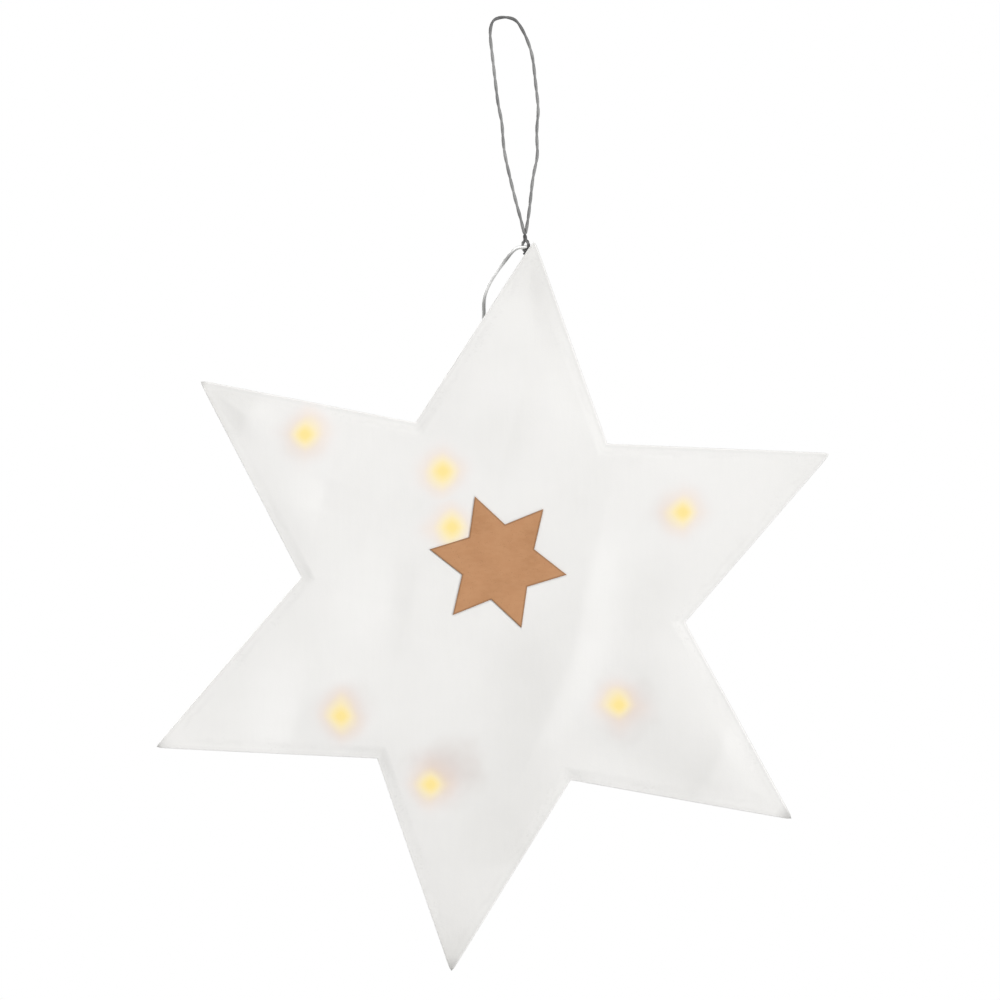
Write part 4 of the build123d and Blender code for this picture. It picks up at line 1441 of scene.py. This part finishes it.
# Darker and lighter colour, roughness, and the solids that take the finish
METALS = {
    "nickel": (rgb(0.50, 0.49, 0.46), rgb(0.66, 0.65, 0.62), 0.25, CONTACTS),
    "tinned_sheet": (rgb(0.40, 0.40, 0.40), rgb(0.58, 0.58, 0.57), 0.30, ["switch_body"]),
    "frame_wire_steel": (rgb(0.14, 0.14, 0.14), rgb(0.26, 0.26, 0.25), 0.35, ["frame_wire"]),
}


def make_cell_paint(name, nub_way):
    """A jacket with its band towards the nub, which points up (1) or down (-1)."""
    material, tree = new_paint(name + "_jacket")
    spot = tree.vector("SUBTRACT", place_of(tree), tuple(box_middle(name)))
    height = tree.vector("DOT_PRODUCT", spot, tuple(UP * nub_way)).out("Value")
    band = height.band(*CELL_BAND).ease(0.0, 0.1)
    bare = height.ease(*JACKET_TOP).most(1 - height.ease(*JACKET_FOOT))
    sockets = {
        "Base Color": tree.mix(bare, tree.mix(band, JACKET_BLUE, JACKET_BAND), CELL_STEEL),
        "Metallic": bare * 0.9,
        "Roughness": 0.28 + grain(tree, 900) * 0.15,
        "Coat Weight": 0.3,
    }
    return close_paint(material, tree, sockets)


def make_metal(name, dark, light, rough):
    material, tree = new_paint(name)
    patches = grain(tree, 240, 3.0)
    return wire_finish(material, tree, tree.mix(patches.ease(0.3, 0.7), dark, light), rough, patches)


for name, nub_way in (("aa_cell_1", 1), ("aa_cell_2", -1)):
    paint_solids(make_cell_paint(name, nub_way), [name])
for name, (*values, solids) in METALS.items():
    paint_solids(make_metal(name, *values), solids)

# %% [markdown]
# ## The light string
# The lights' lenses glow, and their sleeves, wires and glue are clear plastics, a little milky. Most of the
# string lies between the sheets, where hardly anything of it is seen, so one simple finish does for it all.

# %% The light string
NUMBERS = [f"{index:02d}" for index in lights]
LENSES = [f"led_lens_{number}" for number in NUMBERS]
SLEEVES = [f"led_socket_{number}" for number in NUMBERS]
STRING = [f"led_wire_{number}" for number in NUMBERS[:-1]]
# Colour, the light that it gives off, and the solids that take the finish
CLEAR_PLASTICS = {
    "lit_lens": (rgb(1.0, 0.86, 0.48), rgb(1.0, 0.72, 0.28), LENSES),
    "milky_sleeve": (rgb(0.80, 0.80, 0.77), None, SLEEVES),
    "clear_insulation": (rgb(0.72, 0.66, 0.58), None, [*STRING, "supply_lead"]),
    "clear_glue": (rgb(0.85, 0.84, 0.78), None, ["glue_dots"]),
}


def make_clear(name, colour, light):
    """A milky clear plastic, which may give off light of its own."""
    material, tree = new_paint(name)
    clouds = grain(tree, 500)
    shade = rgb(*(0.8 * part for part in colour[:3]))
    sockets = {"Base Color": tree.mix(clouds, shade, colour), "Roughness": 0.15 + clouds * 0.2}
    if light:
        sockets["Emission Color"] = tree.mix(clouds, light, WHITE)
        sockets["Emission Strength"] = 1.5
    return close_paint(material, tree, sockets)


for name, (colour, light, solids) in CLEAR_PLASTICS.items():
    paint_solids(make_clear(name, colour, light), solids)

# %% [markdown]
# ## What each piece stands for
# Every new piece rides on the body that carries it on the real object, and the solid that it stands for is
# hidden.

# %% What each piece stands for
def stand_in(piece, body, node):
    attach(piece, body)
    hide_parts(node)


stand_in(front_sheet, "star", "front_paper")
stand_in(back_sheet, "star", "back_paper")
stand_in(brown_star, "star", "kraft_star")
stand_in(loop_strands, "hanger", "hanging_loop")
stand_in(bow_wire, "star", "hanger_bow")
stand_in(foam_tape, "star", "foam_pad")
print("pieces:", [piece.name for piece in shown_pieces() if "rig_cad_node" not in piece])
